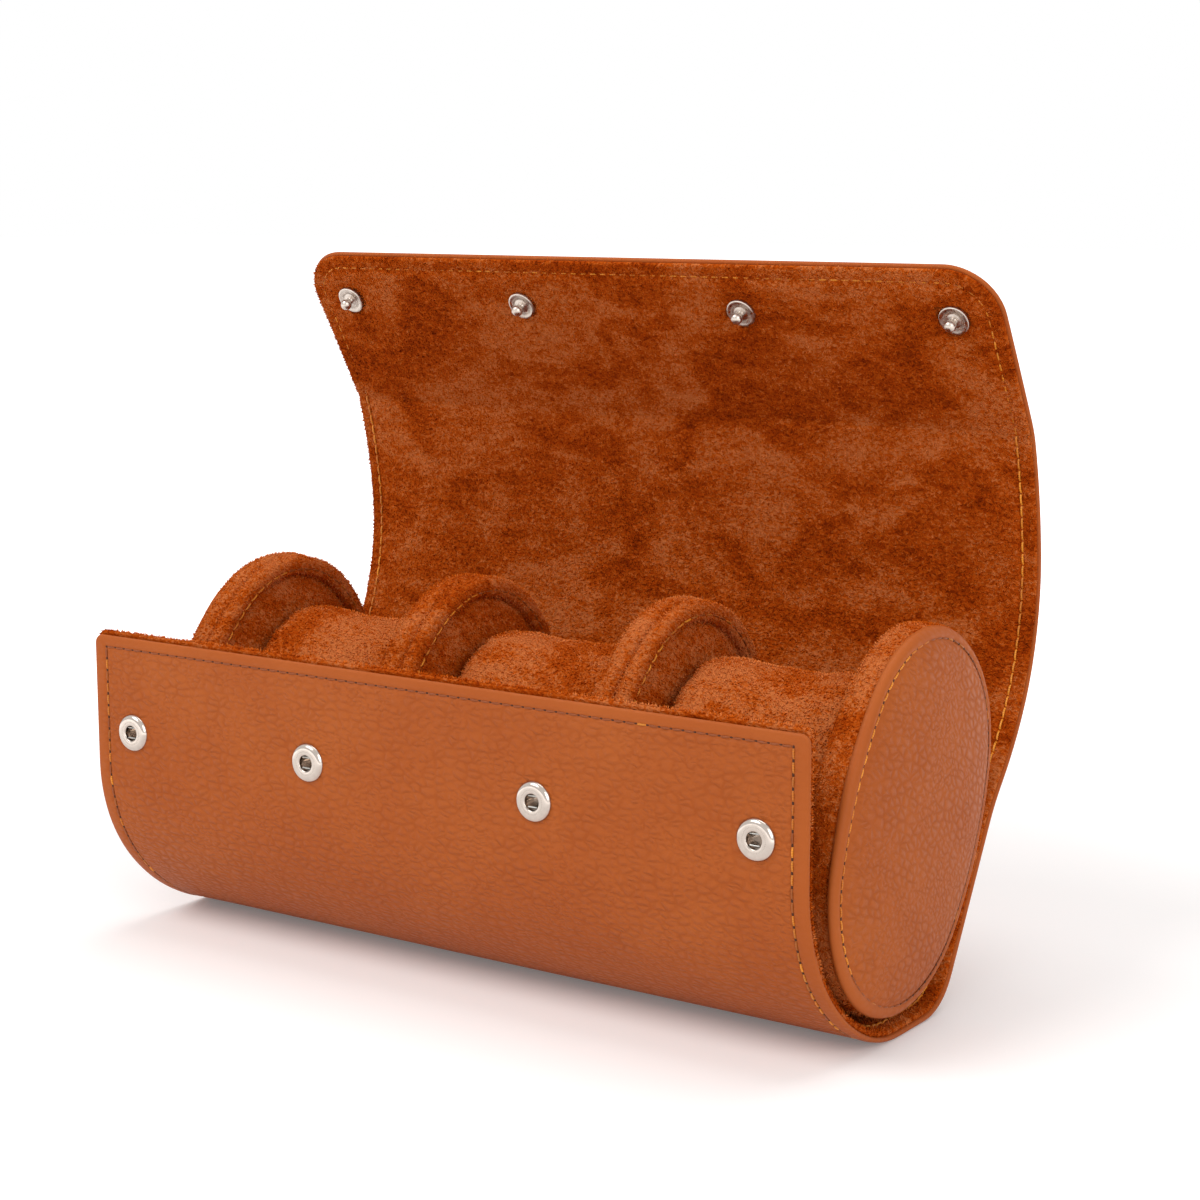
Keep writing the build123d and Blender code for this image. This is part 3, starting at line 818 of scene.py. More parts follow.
stitching = {
    "pitch": 2.9,
    "length": 2.35,
    "threadRadius": 0.26,
    "discThreadRadius": 0.21,
    "wobble": 0.05,
    "holeRadius": 0.32,
    "leatherDepth": 0.17,
    "velvetLift": 0.34,
    "flapLift": -0.12,            # the flap's pile hides most of its stitches
    "sunk": 0.55,                 # how much of the leather's stitches is drawn in the dull tan rather than with painted glints of gold
    "topSunk": 1.0,               # and those along the front's top edge
    "holeDepth": 0.24,
}
threadTree, mouthTree = stitchTree(), holeTree()
draw = random.Random(11)


def stitchPath():
    # the seam in the flat pattern: (x, s, direction x, direction s) of each stitch
    inset, pitch, front = wrap["stitchInset"], stitching["pitch"], wrap["frontStitchInset"]
    side, end = wrap["halfWidth"] - inset, wrapLength - inset
    corner = wrap["flapCorner"] - inset
    quarter = math.pi / 2 * corner
    down, across = end - front - corner, 2 * (side - corner)
    stretches = [
        ("line", (-side, front), (1, 0), 2 * side),
        ("line", (side, front), (0, 1), down),
        ("arc", (side - corner, end - corner), 0.0, quarter),
        ("line", (side - corner, end), (-1, 0), across),
        ("arc", (-side + corner, end - corner), 90.0, quarter),
        ("line", (-side, end - corner), (0, -1), down),
    ]
    found = []
    for kind, start, way, length in stretches:
        count = round(length / pitch)
        for i in range(count):
            along = (i + 0.5) * length / count
            if kind == "line":
                found.append((start[0] + way[0] * along, start[1] + way[1] * along, way[0], way[1]))
            else:
                angle = math.radians(way + 90 * along / length)
                found.append((start[0] + corner * math.cos(angle), start[1] + corner * math.sin(angle),
                              -math.sin(angle), math.cos(angle)))
    return found


def stitchMark(x, s, wayX, wayS, depth, facing, sunk=0.0):
    # facing is -1 on the leather side and 1 on the velvet
    here, deeper = wrapSpot(x, s, depth), wrapSpot(x, s, depth + 1.0)
    ahead = wrapSpot(x + 0.5 * wayX, s + 0.5 * wayS, depth)
    up = Vector(deeper - here).normalized() * facing
    along = Vector(ahead - here).normalized()
    return Vector(here), along, up, Vector((x, s, 40.0 * facing)), sunk


def sewn(name, marks, radius):
    # a stitch of thread on every mark
    return grown("stitches" + name, markedPoints("stitches" + name, marks), threadTree, {
        "Stitch Length": stitching["length"] * mm, "Thread Radius": radius * mm}, threadFinish)


def needled(name, marks):
    # a needle hole's painted shadow on every mark
    return grown("needleHoles" + name, markedPoints("needleHoles" + name, marks), mouthTree, {
        "Hole Radius": stitching["holeRadius"] * mm}, holeFinish)


seam = stitchPath()
for number, fold in enumerate(wrap["folds"]):
    first, last = wrap["splits"][number], wrap["splits"][number + 1]
    marks, holes = [], []
    for x, s, wayX, wayS in seam:
        if not first <= s < last:
            continue
        tilt = draw.uniform(-stitching["wobble"], stitching["wobble"])
        turnedX, turnedS = wayX - tilt * wayS, wayS + tilt * wayX
        # the leather's stitches take the dull tan, with painted glints of gold on the sides and flap but none
        # along the front's top edge
        sunk = stitching["topSunk" if abs(wayX) > 0.9 and s < wrap["splits"][1] else "sunk"]
        marks.append(stitchMark(x, s, turnedX, turnedS, stitching["leatherDepth"], -1, sunk))
        seamBed = float(backingNear(s, wrap["stitchInset"])) + wrap["lining"]
        seamBed += wrap["velvetRise"] - wrap["velvetDrawn"][0]
        lift = seamBed + (stitching["flapLift"] if s > wrap["folds"]["Flap"][2] else stitching["velvetLift"])
        marks.append(stitchMark(x, s, turnedX, turnedS, lift, 1))
        back = stitching["pitch"] / 2
        holes.append(stitchMark(x - back * wayX, s - back * wayS, wayX, wayS, stitching["holeDepth"], -1))
    for piece in (sewn(fold, marks, stitching["threadRadius"]), needled(fold, holes)):
        bendWith(piece)
print("wrap stitched,", len(seam), "stitches a side")


# pile: short fibres on the velvet, leaning with the patches that were stroked

pile = {
    "density": 2.4e6,             # fibres a square metre, each standing for a small tuft
    "length": 0.62,
    "radius": 0.17,
    "lean": 1.3,
    "clumpLean": 1.5,
    "spread": 0.9,
    "patch": 24.0,
    "clump": 1.3,
    "rimReach": 1.2,              # the pile is thicker this near the lining's edge
    "rimShare": 1.5,
    "fringeReach": 0.9,
    "fringeLength": 0.85,
    "fringeDensity": 3.0e6,
    "fringeLean": 0.5,
    "grownFrom": 0.2,             # share of the lining's thickness below which its edge is bare
    "lidGrownFrom": 0.65,
    "pressed": 0.6,               # share of the pile left where the discs stand on the lining
    "bareRoundStud": 4.2,
    "hiddenBelow": 30.0,          # the wrap hides the discs below this height
    "hiddenShare": 0.5,
    "padSheenLift": 0.16,           # painted sheen: the pads and cushions are drawn paler than the wrap's lining
    "cushionSheenLift": 0.18,
}


def pileTree():
    # thin three-sided cones that lean with broad patches and small clumps, and a little astray
    tree, given, out = newTree("velvetPile", [
        ("Density", "NodeSocketFloat", pile["density"]),
        ("Fibre Length", "NodeSocketFloat", pile["length"] * mm),
        ("Fibre Radius", "NodeSocketFloat", pile["radius"] * mm),
        ("Lean", "NodeSocketFloat", pile["lean"]),
        ("Clump Lean", "NodeSocketFloat", pile["clumpLean"]),
        ("Spread", "NodeSocketFloat", pile["spread"]),
        ("Seed", "NodeSocketInt", 5),
        ("Material", "NodeSocketMaterial", None),
    ])
    share = addNode(tree, "GeometryNodeInputNamedAttribute", {"data_type": "FLOAT"}, {"Name": "pileShare"})
    density = addNode(tree, "ShaderNodeMath", multiply, [given.outputs["Density"], share])
    points = addNode(tree, "GeometryNodeDistributePointsOnFaces", {"distribute_method": "RANDOM"}, {
        "Mesh": given.outputs["Geometry"], "Density": density, "Seed": given.outputs["Seed"]})
    cone = addNode(tree, "GeometryNodeMeshCone", {"fill_type": "NGON"}, {
        "Vertices": 3, "Side Segments": 1, "Radius Top": 0.0, "Radius Bottom": given.outputs["Fibre Radius"],
        "Depth": given.outputs["Fibre Length"]})
    here = addNode(tree, "GeometryNodeInputPosition")
    height = addNode(tree, "ShaderNodeSeparateXYZ", {}, [here]).outputs["Z"]
    up = addNode(tree, "ShaderNodeMath", divide, [height, given.outputs["Fibre Length"]])
    tipped = addNode(tree, "GeometryNodeStoreNamedAttribute", {"data_type": "FLOAT", "domain": "POINT"}, {
        "Geometry": cone.outputs["Mesh"], "Name": "tip", "Value": up})
    smooth = addNode(tree, "GeometryNodeSetShadeSmooth", {}, {"Geometry": tipped})
    leans = []
    for size, detail, amount in ((pile["patch"], 2.0, "Lean"), (pile["clump"], 1.0, "Clump Lean")):
        field = addNode(tree, "ShaderNodeTexNoise", {}, {
            "Vector": here, "Scale": 1 / (size * mm), "Detail": detail})
        away = addNode(tree, "ShaderNodeVectorMath", {"operation": "SUBTRACT"}, [
            field.outputs["Color"], (0.5, 0.5, 0.5)])
        leans.append(addNode(tree, "ShaderNodeVectorMath", {"operation": "SCALE"}, {
            0: away, "Scale": given.outputs[amount]}))
    leaning = addNode(tree, "ShaderNodeVectorMath", add, leans)
    stray = addNode(tree, "FunctionNodeRandomValue", {"data_type": "FLOAT_VECTOR"}, {
        0: (-0.5, -0.5, -0.5), 1: (0.5, 0.5, 0.5), "Seed": given.outputs["Seed"]})
    stray = addNode(tree, "ShaderNodeVectorMath", {"operation": "SCALE"}, {
        0: stray, "Scale": given.outputs["Spread"]})
    way = addNode(tree, "ShaderNodeVectorMath", add, [points.outputs["Normal"], leaning])
    way = addNode(tree, "ShaderNodeVectorMath", add, [way, stray])
    turn = addNode(tree, "FunctionNodeAlignRotationToVector", {"axis": "Z"}, {"Vector": way})
    size = addNode(tree, "FunctionNodeRandomValue", {"data_type": "FLOAT"}, {
        2: 0.65, 3: 1.15, "Seed": given.outputs["Seed"]})
    repeatOnPoints(tree, given, out, points, smooth, turn, size.outputs[1])
    return tree


fibreTree = pileTree()


def paintSheenLift(piece, amount):
    # painted sheen: the material lightens the velvet by this amount
    setAttribute(piece.data, "sheenLift", [amount] * len(piece.data.vertices))


def addPile(surface, name, share, seed, **values):
    # share says, point by point, how much of the full pile grows there
    setAttribute(surface.data, "pileShare", share)
    settings = {"Density": pile["density"], "Seed": seed, **values}
    fibres = grown(name, surface.data, fibreTree, settings, velvetFinish)
    return fibres


for number, fold in enumerate(wrap["folds"]):
    lining = liningPieces[fold]
    place = vectorsOf(lining.data.attributes["clothPlace"].data, "vector")
    near = np.clip(borderDistance(place[:, 0], place[:, 1], wrap["liningSetback"]), 0, None)
    backing = backingNear(place[:, 1], near + wrap["liningSetback"])
    bare = pile["lidGrownFrom"] if number > 1 else pile["grownFrom"]
    low = wrapPoint(place[:, 0], place[:, 1], backing + bare * wrap["lining"])
    high = wrapPoint(place[:, 0], place[:, 1], backing + wrap["lining"])
    above = ((coordinates(lining.data) / mm - low) * (high - low)).sum(1) > 0
    share = np.where(above, np.where(near < pile["rimReach"], pile["rimShare"], 1.0), 0.0)
    share *= pile["pressed"] if fold in ("Toe", "Back") else 1.0
    share[studDistance(place[:, 0], place[:, 1]) < pile["bareRoundStud"]] = 0.0
    fibres = addPile(lining, "pile" + fold, share, 20 + number)
    bendWith(fibres)
    if fold == "Knee":
        # fibres pressed up past the leather's edge, where the cut velvet ends
        rim = np.where(above & (near < pile["fringeReach"]), 1.0, 0.0)
        fringe = addPile(lining, "fringe" + fold, rim, 30 + number, **{
            "Density": pile["fringeDensity"], "Fibre Length": pile["fringeLength"] * mm,
            "Lean": pile["fringeLean"]})
        bendWith(fringe)
for fold in wrap["folds"]:
    bendWith(leatherPieces[fold])
    bendWith(liningPieces[fold])
print("pile grown on the lining")


# padded discs

disc = {
    "halfLength": 42.8,
    "halfWidth": 33.4,
    "endRadius": 30.6,
    "lean": 64.0,                 # angle of the oval's long axis above the floor
    "centre": (0.1, 47.4),
    "firstX": -89.5,
    "pitch": 60.6,
    "samples": 168,               # points round the oval
    # cross-section of each ring: place along the roll from the disc's left side, and inset
    "pad": [(0.5, 27.5), (0.45, 18), (0.35, 9), (0.2, 4), (0.15, 2.2), (0.5, 0.9), (1.2, 0.25), (2.2, 0.0),
            (3.2, -0.1), (4.2, 0.0), (5.1, 0.3), (5.7, 0.9), (6.0, 1.8), (6.2, 4.2), (7.6, 4.9), (8.3, 6.5),
            (9.2, 9), (9.7, 16), (9.7, 27.5)],
    "welt": [(6.0, 2.2), (6.15, 1.1), (6.6, 0.5), (7.4, 0.2), (8.4, 0.2), (9.2, 0.5), (9.8, 1.1), (10.1, 1.9),
             (10.05, 2.7), (9.75, 3.3), (9.85, 3.8), (9.5, 4.4), (8.4, 4.9), (7.2, 5.0), (6.2, 4.6)],
    "endPad": [(0.5, 27.5), (0.45, 18), (0.35, 9), (0.2, 4), (0.15, 2.2), (0.5, 0.9), (1.2, 0.25),
               (2.2, 0.0), (4.0, -0.15), (6.0, -0.05), (7.2, 0.2), (7.9, 0.7), (8.1, 1.8), (8.1, 9),
               (8.1, 18), (8.1, 27.5)],
    # the leather face of an end disc, from the pad outwards: a turned rim, the seam, a shallow dome
    "face": [(0.0, 27.5), (0.0, 14), (0.0, 4), (0.05, 1.0), (0.35, 0.35), (0.8, 0.05), (1.3, 0.0), (1.8, 0.2),
             (2.2, 0.6), (2.5, 1.1), (2.62, 1.6), (2.6, 2.05), (2.45, 2.4), (2.4, 2.6), (2.55, 2.9),
             (2.85, 3.4), (3.2, 4.3), (3.65, 6), (4.2, 9), (4.7, 13), (5.1, 18), (5.35, 23), (5.45, 27.5)],
    # inset of each seam, its place along the roll, and the pitch and lift of its stitches
    "faceSeam": 2.55,
    "faceSeamHeight": 2.42,
    "faceStitches": (2.9, 0.1),
    "weltSeam": 3.35,
    "weltSeamAt": 9.85,
    "weltStitches": (3.1, 0.16),
    "dulled": 0.9,                # how sunk the stitches are: drawn dull, with painted shade and no painted glints, except on the oval's upper front towards the lights
    "dulledBelow": 0.45,
    "endPadWidth": 8.0,
    "faceSink": 1.0,              # how far the face's rim starts behind the pad's end
    "softness": 0.45,             # height of the soft lumps in the pads, welts and faces
    "weltSoftness": 0.25,
    "faceSoftness": 0.3,
    "squeezed": 0.89,             # share of its height that a disc keeps under the closed lid
    "squeezeTurn": 38.0,          # the lid presses this much forward of the oval's long axis
}
rightFace = {**disc, "halfLength": 42.7, "halfWidth": 32.6, "endRadius": 31.2, "centre": (-1.2, 47.7)}
leftFace = {**disc, "halfLength": 41.2, "halfWidth": 31.0, "endRadius": 29.2}
leanAngle = math.radians(disc["lean"])
longWay = np.array([0.0, math.cos(leanAngle), math.sin(leanAngle)])
crossWay = np.array([0.0, -math.sin(leanAngle), math.cos(leanAngle)])


def ovalPoint(shape, angle, inset):
    # a point of an oval of four arcs, inset from its outline, along its two axes
    endCentre = shape["halfLength"] - shape["endRadius"]
    radius, width = shape["endRadius"], shape["halfWidth"]
    sideRadius = (endCentre**2 + width**2 - radius**2) / (2 * (width - radius))
    meets = math.atan2(sideRadius - width, endCentre)
    c, s = math.cos(angle), math.sin(angle)
    if abs(math.atan2(s, abs(c))) < meets:
        centre, reach = (math.copysign(endCentre, c), 0.0), radius
    else:
        centre, reach = (0.0, -math.copysign(sideRadius - width, s)), sideRadius
    return centre[0] + (reach - inset) * c, centre[1] + (reach - inset) * s


def ovalPlace(shape, x, a, b):
    return np.array([x, shape["centre"][0], shape["centre"][1]]) + a * longWay + b * crossWay


def ovalSolid(name, shape, profile, startX, direction, capped=True):
    # rings of the profile, closed by a pole at each end, or joined into a loop
    samples = shape["samples"]
    angles = [2 * math.pi * i / samples for i in range(samples)]
    points, place, rim, faces = [], [], [], []
    for along, inset in profile:
        for angle in angles:
            a, b = ovalPoint(shape, angle, inset)
            points.append(ovalPlace(shape, startX + direction * along, a, b))
            place.append((b, a, startX + along))
            rim.append(max(inset, 0.0))
    rings = len(profile)
    for i in range(rings if not capped else rings - 1):
        for j in range(samples):
            k = (j + 1) % samples
            m = (i + 1) % rings
            faces.append((i * samples + j, i * samples + k, m * samples + k, m * samples + j))
    if capped:
        for ring, (along, inset) in ((0, profile[0]), (rings - 1, profile[-1])):
            points.append(ovalPlace(shape, startX + direction * along, 0.0, 0.0))
            place.append((0.0, 0.0, startX + along))
            rim.append(30.0)
            pole = len(points) - 1
            faces += [(ring * samples + j, ring * samples + (j + 1) % samples, pole) for j in range(samples)]
    return closedMesh(name, points, faces, place, rim)


def soften(mesh, amount, size, seed):
    # low lumps in a padded piece, along its own normals
    points = coordinates(mesh)
    normals = vectorsOf(mesh.vertex_normals, "vector")
    lumps = np.array([noise.noise(Vector(p / (size * mm)) + Vector((seed, 0, 0))) for p in points])
    moveTo(mesh, points + normals * (lumps * amount * mm)[:, None])


def settleOnBase(piece):
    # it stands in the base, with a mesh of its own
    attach(piece, "base")
    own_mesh(piece)


def ovalSeam(shape, x, inset, facing, pitch, lift):
    # stitches round an oval, evenly spaced, and the holes between them
    fine = [ovalPoint(shape, 2 * math.pi * i / 2000, inset) for i in range(2001)]
    lengths = np.concatenate([[0], np.cumsum([math.dist(p, q) for p, q in zip(fine, fine[1:])])])
    count = round(lengths[-1] / pitch)
    marks, holes = [], []
    for i in range(count):
        for part, found in ((0.5, marks), (0.0, holes)):
            at = (i + part) * lengths[-1] / count
            here, ahead = [tuple(np.interp(t, lengths, [p[axis] for p in fine]) for axis in (0, 1))
                           for t in (at, min(at + 0.3, lengths[-1]))]
            if here == ahead:
                continue
            point = ovalPlace(shape, x + facing * (lift if found is marks else 0.0), *here)
            tilt = draw.uniform(-stitching["wobble"], stitching["wobble"])
            along = Vector(ovalPlace(shape, x, *ahead) - ovalPlace(shape, x, *here)).normalized()
            up = Vector((facing, 0, 0))
            along = (along + tilt * up.cross(along)).normalized()
            # painted highlight and shade: only the stitches on the oval's upper front, towards the lights,
            # keep their gold
            dulled = disc["dulled"] if here[1] < disc["dulledBelow"] * shape["halfWidth"] else 0.0
            found.append((Vector(point), along, up, Vector((here[0], here[1], x)), dulled))
    return marks, holes


def pieceLabel(name):
    # end_disc_left becomes EndDiscLeft
    return "".join(part.capitalize() for part in name.split("_"))


def velvetRing(kind, label, profile, startX, capped, lumps, nodes, seed):
    # a padded ring of a disc, with its pile
    mesh = ovalSolid(kind + label, disc, profile, startX, 1, capped)
    ring = addPiece(kind + label, mesh, velvetFinish)
    soften(ring.data, *lumps)
    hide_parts(*nodes)
    # painted sheen: the pad's velvet is drawn paler
    paintSheenLift(ring, pile["padSheenLift"])
    height = coordinates(ring.data)[:, 2] / mm
    share = np.where(height < pile["hiddenBelow"], pile["hiddenShare"], 1.0)
    fibres = addPile(ring, kind + "Pile" + label, share, seed)
    settleOnBase(ring)
    settleOnBase(fibres)


discNames = ["end_disc_left", "divider_left", "divider_right", "end_disc_right"]
for number, name in enumerate(discNames):
    startX = disc["firstX"] + number * disc["pitch"]
    last = name == "end_disc_right"
    label = pieceLabel(name)
    velvetRing("pad", label, disc["endPad" if last else "pad"], startX, True,
               (disc["softness"], 14.0, number * 7.0), (name + "_pad", name + "_core"), 40 + number)
    seams, mouths = [], []
    if not last:
        velvetRing("welt", label, disc["welt"], startX, False,
                   (disc["weltSoftness"], 9.0, 50 + number * 7.0), (name + "_welt",), 60 + number)
        seams, _ = ovalSeam(disc, startX + disc["weltSeamAt"], disc["weltSeam"], 1, *disc["weltStitches"])
    if number in (0, 3):
        shape = rightFace if last else leftFace
        facing = 1 if last else -1
        faceX = startX + (disc["endPadWidth"] if last else 0.0) - facing * disc["faceSink"]
        mesh = ovalSolid("face" + label, shape, disc["face"], faceX, facing)
        face = addPiece("face" + label, mesh, leatherFinish)
        soften(face.data, disc["faceSoftness"], 26.0, 90.0 + number)
        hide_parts(name + "_face")
        settleOnBase(face)
        seamX = faceX + facing * disc["faceSeamHeight"]
        faceSeams, mouths = ovalSeam(shape, seamX, disc["faceSeam"], facing, *disc["faceStitches"])
        seams += faceSeams
    stitches = sewn(label, seams, stitching["discThreadRadius"])
    settleOnBase(stitches)
    if mouths:
        dark = needled(label, mouths)
        settleOnBase(dark)
print("discs made")


# cushions: an oval roll of foam in a velvet cover, puffed by cloth simulation

cushion = {
    "halfLength": 38.7,
    "halfWidth": 25.1,
    "endRadius": 23.0,
    "centre": (-2.0, 41.5),
    "samples": 96,
    "startFromDisc": 10.55,
    "width": 49.7,
    "edgeRadius": 2.6,
    "waist": 1.5,                 # it is this much slimmer in its middle
    "start": 1.6,                 # it begins this much smaller, and swells
    "voxel": 4.2,
    "pressure": 4.0,
    "mostSwell": 3.2,
    "creases": 6,
    "crease": 0.8,
    "creaseWidth": 1.3,
    "sideGap": 0.1,               # it stays this far inside its width, clear of the discs
    "softness": 0.5,
    "pressedPile": (0.3, 0.4),    # share of the pile left on its flat ends, and on its underside
    "undersideBelow": 22.0,
}


def cushionProfile():
    # place along the roll and inset of each ring, from one end to the other
    width, edge, start = cushion["width"] - 2 * cushion["start"], cushion["edgeRadius"], cushion["start"]
    rings = [(0.0, edge + 12), (0.0, edge + 5)]
    rings += [(edge * (1 - math.cos(a)), edge * (1 - math.sin(a))) for a in np.radians(np.linspace(0, 90, 7))]
    for t in np.linspace(0, 1, 14)[1:-1]:
        along = edge + t * (width - 2 * edge)
        rings.append((along, cushion["waist"] * math.sin(math.pi * along / width) ** 2))
    rings += [(width - along, inset) for along, inset in reversed(rings[:9])]
    return [(along + start, inset + start) for along, inset in rings]


def puff(piece):
    # cloth under pressure swells the cover; no point may go further than the cap
    remesh = piece.modifiers.new("even", "REMESH")
    remesh.mode, remesh.voxel_size = "VOXEL", cushion["voxel"] * mm
    applyModifiers(piece)
    startPoints = coordinates(piece.data)
    cloth = piece.modifiers.new("cover", "CLOTH")
    cloth.settings.use_pressure = True
    cloth.settings.uniform_pressure_force = cushion["pressure"]
    cloth.settings.effector_weights.gravity = 0.0
    cloth.settings.tension_stiffness = 12
    cloth.settings.compression_stiffness = 12
    cloth.settings.bending_stiffness = 0.6
    cloth.settings.quality = 6
    for step in range(1, 21):
        scene.frame_set(step)
    applyModifiers(piece)
    scene.frame_set(1)
    moved = coordinates(piece.data) - startPoints
    far = np.linalg.norm(moved, axis=1)
    cap = cushion["mostSwell"] * mm
    moveTo(piece.data, startPoints + moved * np.minimum(1, cap / np.maximum(far, 1e-9))[:, None])
    return float(far.max() / mm)


cushionNames = ["cushion_left", "cushion_centre", "cushion_right"]
for number, name in enumerate(cushionNames):
    label = "cushion" + pieceLabel(name.split("_")[1])
    startX = disc["firstX"] + number * disc["pitch"] + cushion["startFromDisc"]
    cover = addPiece(label, ovalSolid(label, cushion, cushionProfile(), startX, 1), velvetFinish)
    print(name, "swells by %.1f mm at most" % puff(cover))
    smooth = cover.modifiers.new("smooth", "SUBSURF")
    smooth.levels = smooth.render_levels = 1
    applyModifiers(cover)
    points = coordinates(cover.data) / mm
    centre = ovalPlace(cushion, startX + cushion["width"] / 2, 0.0, 0.0)
    around = np.arctan2((points - centre) @ crossWay, (points - centre) @ longWay)
    # a few slack creases run part of the way round each cushion, with a low ridge beside each
    pull = np.zeros(len(points))
    creases = random.Random(70 + number)
    for _ in range(cushion["creases"]):
        at = startX + cushion["width"] * creases.uniform(0.12, 0.88)
        middle, slant = creases.uniform(-0.9, 1.3), creases.uniform(-9, 9)
        depth, reach = creases.uniform(0.4, 1.0) * cushion["crease"], creases.uniform(0.25, 0.6)
        offset = points[:, 0] - at - slant * (around - middle)
        fading = np.exp(-((around - middle) / reach) ** 2)
        pull += depth * np.exp(-(offset / cushion["creaseWidth"]) ** 2) * fading
        pull -= 0.5 * depth * np.exp(-((offset - 3.2) / 2.0) ** 2) * fading
    inward = centre - points
    inward[:, 0] = 0
    inward /= np.maximum(np.linalg.norm(inward, axis=1), 1e-6)[:, None]
    points += inward * pull[:, None]
    lowX, highX = startX + cushion["sideGap"], startX + cushion["width"] - cushion["sideGap"]
    points[:, 0] = np.clip(points[:, 0], lowX, highX)
    moveTo(cover.data, points * mm)
    soften(cover.data, cushion["softness"], 13.0, 130 + number * 9)
    place = coordinates(cover.data) / mm + np.array([0, 0, 70.0 * number])
    setAttribute(cover.data, "clothPlace", place, "FLOAT_VECTOR")
    cover.data.shade_smooth()
    cover.data.materials.clear()
    cover.data.materials.append(velvetFinish)
    atEnd, underneath = cushion["pressedPile"]
    share = np.where((points[:, 0] < lowX + 1.2) | (points[:, 0] > highX - 1.2), atEnd, 1.0)
    share = np.where(points[:, 2] < cushion["undersideBelow"], underneath * share, share)
    # painted sheen: the cushion's velvet is drawn paler
    paintSheenLift(cover, pile["cushionSheenLift"])
    fibres = addPile(cover, label + "Pile", share, 80 + number)
    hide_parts(name + "_cover", name + "_foam")
    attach(cover, name)
    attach(fibres, name)
print("cushions made")


# snap fasteners

socket = {
    # radius and height above the leather, from the bore's mouth to the rim and under it
    "profile": [(1.85, -0.6), (1.85, 0.70), (1.9, 0.88), (2.0, 0.98), (2.15, 1.02), (2.4, 1.03), (2.7, 1.03),
                (3.1, 1.03), (3.4, 1.02), (3.7, 0.98), (3.95, 0.90), (4.2, 0.74), (4.4, 0.5), (4.56, 0.25),
                (4.6, 0.1), (4.5, 0.0), (2.4, 0.0), (2.3, -0.6)],
    "loop": True,                 # the profile closes on itself and leaves the bore open
    "at": snaps["socketAt"],
    "depth": 0.0,
    "facing": -1,
    "ridges": 44,
    "ridgeRadius": 2.75,
    "ridgeSize": (0.34, 0.18, 0.16),
    "height": 1.03,
}
stud = {
    "profile": [(0.0, -0.55), (3.3, -0.55), (3.62, -0.35), (3.72, 0.0), (3.66, 0.28), (3.45, 0.42),
                (3.2, 0.42), (2.95, 0.34), (2.4, 0.24), (1.9, 0.20), (1.75, 0.24), (1.5, 0.36), (1.2, 0.42),
                (0.95, 0.5), (0.82, 0.75), (0.8, 1.0), (0.92, 1.25), (1.25, 1.6), (1.42, 2.0), (1.43, 2.45),
                (1.3, 2.9), (1.0, 3.3), (0.55, 3.55), (0.0, 3.64)],
    "loop": False,
    "at": wrapLength - snaps["studFromEnd"],
    "depth": wrap["lidBacking"] + wrap["lining"] + 0.1,
    "facing": 1,
    "ridges": 40,
    "ridgeRadius": 2.42,
    "ridgeSize": (1.15, 0.14, 0.12),
    "height": 0.27,
}


def ridgeTree():
    # fine raised ribs that point at the middle of a ring
    tree, given, out = newTree("pressedRidges", [
        ("Count", "NodeSocketInt", 40),
        ("Ring Radius", "NodeSocketFloat", 2.5 * mm),
        ("Ridge Size", "NodeSocketVector", (0.001, 0.0001, 0.0001)),
        ("Material", "NodeSocketMaterial", None),
    ])
    ring = addNode(tree, "GeometryNodeMeshCircle", {}, {
        "Vertices": given.outputs["Count"], "Radius": given.outputs["Ring Radius"]})
    rib = addNode(tree, "GeometryNodeMeshIcoSphere", {}, {"Radius": 0.5, "Subdivisions": 1})
    sized = addNode(tree, "GeometryNodeTransform", {}, {
        "Geometry": rib, "Scale": given.outputs["Ridge Size"]})
    smooth = addNode(tree, "GeometryNodeSetShadeSmooth", {}, {"Geometry": sized})
    turn = addNode(tree, "FunctionNodeAxesToRotation", {"primary_axis": "X", "secondary_axis": "Z"}, {
        "Primary Axis": addNode(tree, "GeometryNodeInputPosition"), "Secondary Axis": (0, 0, 1)})
    repeatOnPoints(tree, given, out, ring, smooth, turn)
    return tree


def turnedMesh(profile, loop):
    # a profile of radius and height, turned about the axis
    sides = 56
    work = bmesh.new()
    rings = []
    for radius, height in profile:
        count = sides if radius > 1e-6 else 1
        rings.append([work.verts.new((radius * mm * math.cos(2 * math.pi * i / sides),
                                      radius * mm * math.sin(2 * math.pi * i / sides), height * mm))
                      for i in range(count)])
    pairs = list(zip(rings, rings[1:])) + ([(rings[-1], rings[0])] if loop else [])
    for a, b in pairs:
        for i in range(sides):
            j = (i + 1) % sides
            corners = [a[i % len(a)], a[j % len(a)], b[j % len(b)], b[i % len(b)]]
            unique = list(dict.fromkeys(corners))
            if len(unique) > 2:
                work.faces.new(unique)
    bmesh.ops.recalc_face_normals(work, faces=work.faces)
    return meshFrom(work, "turned")


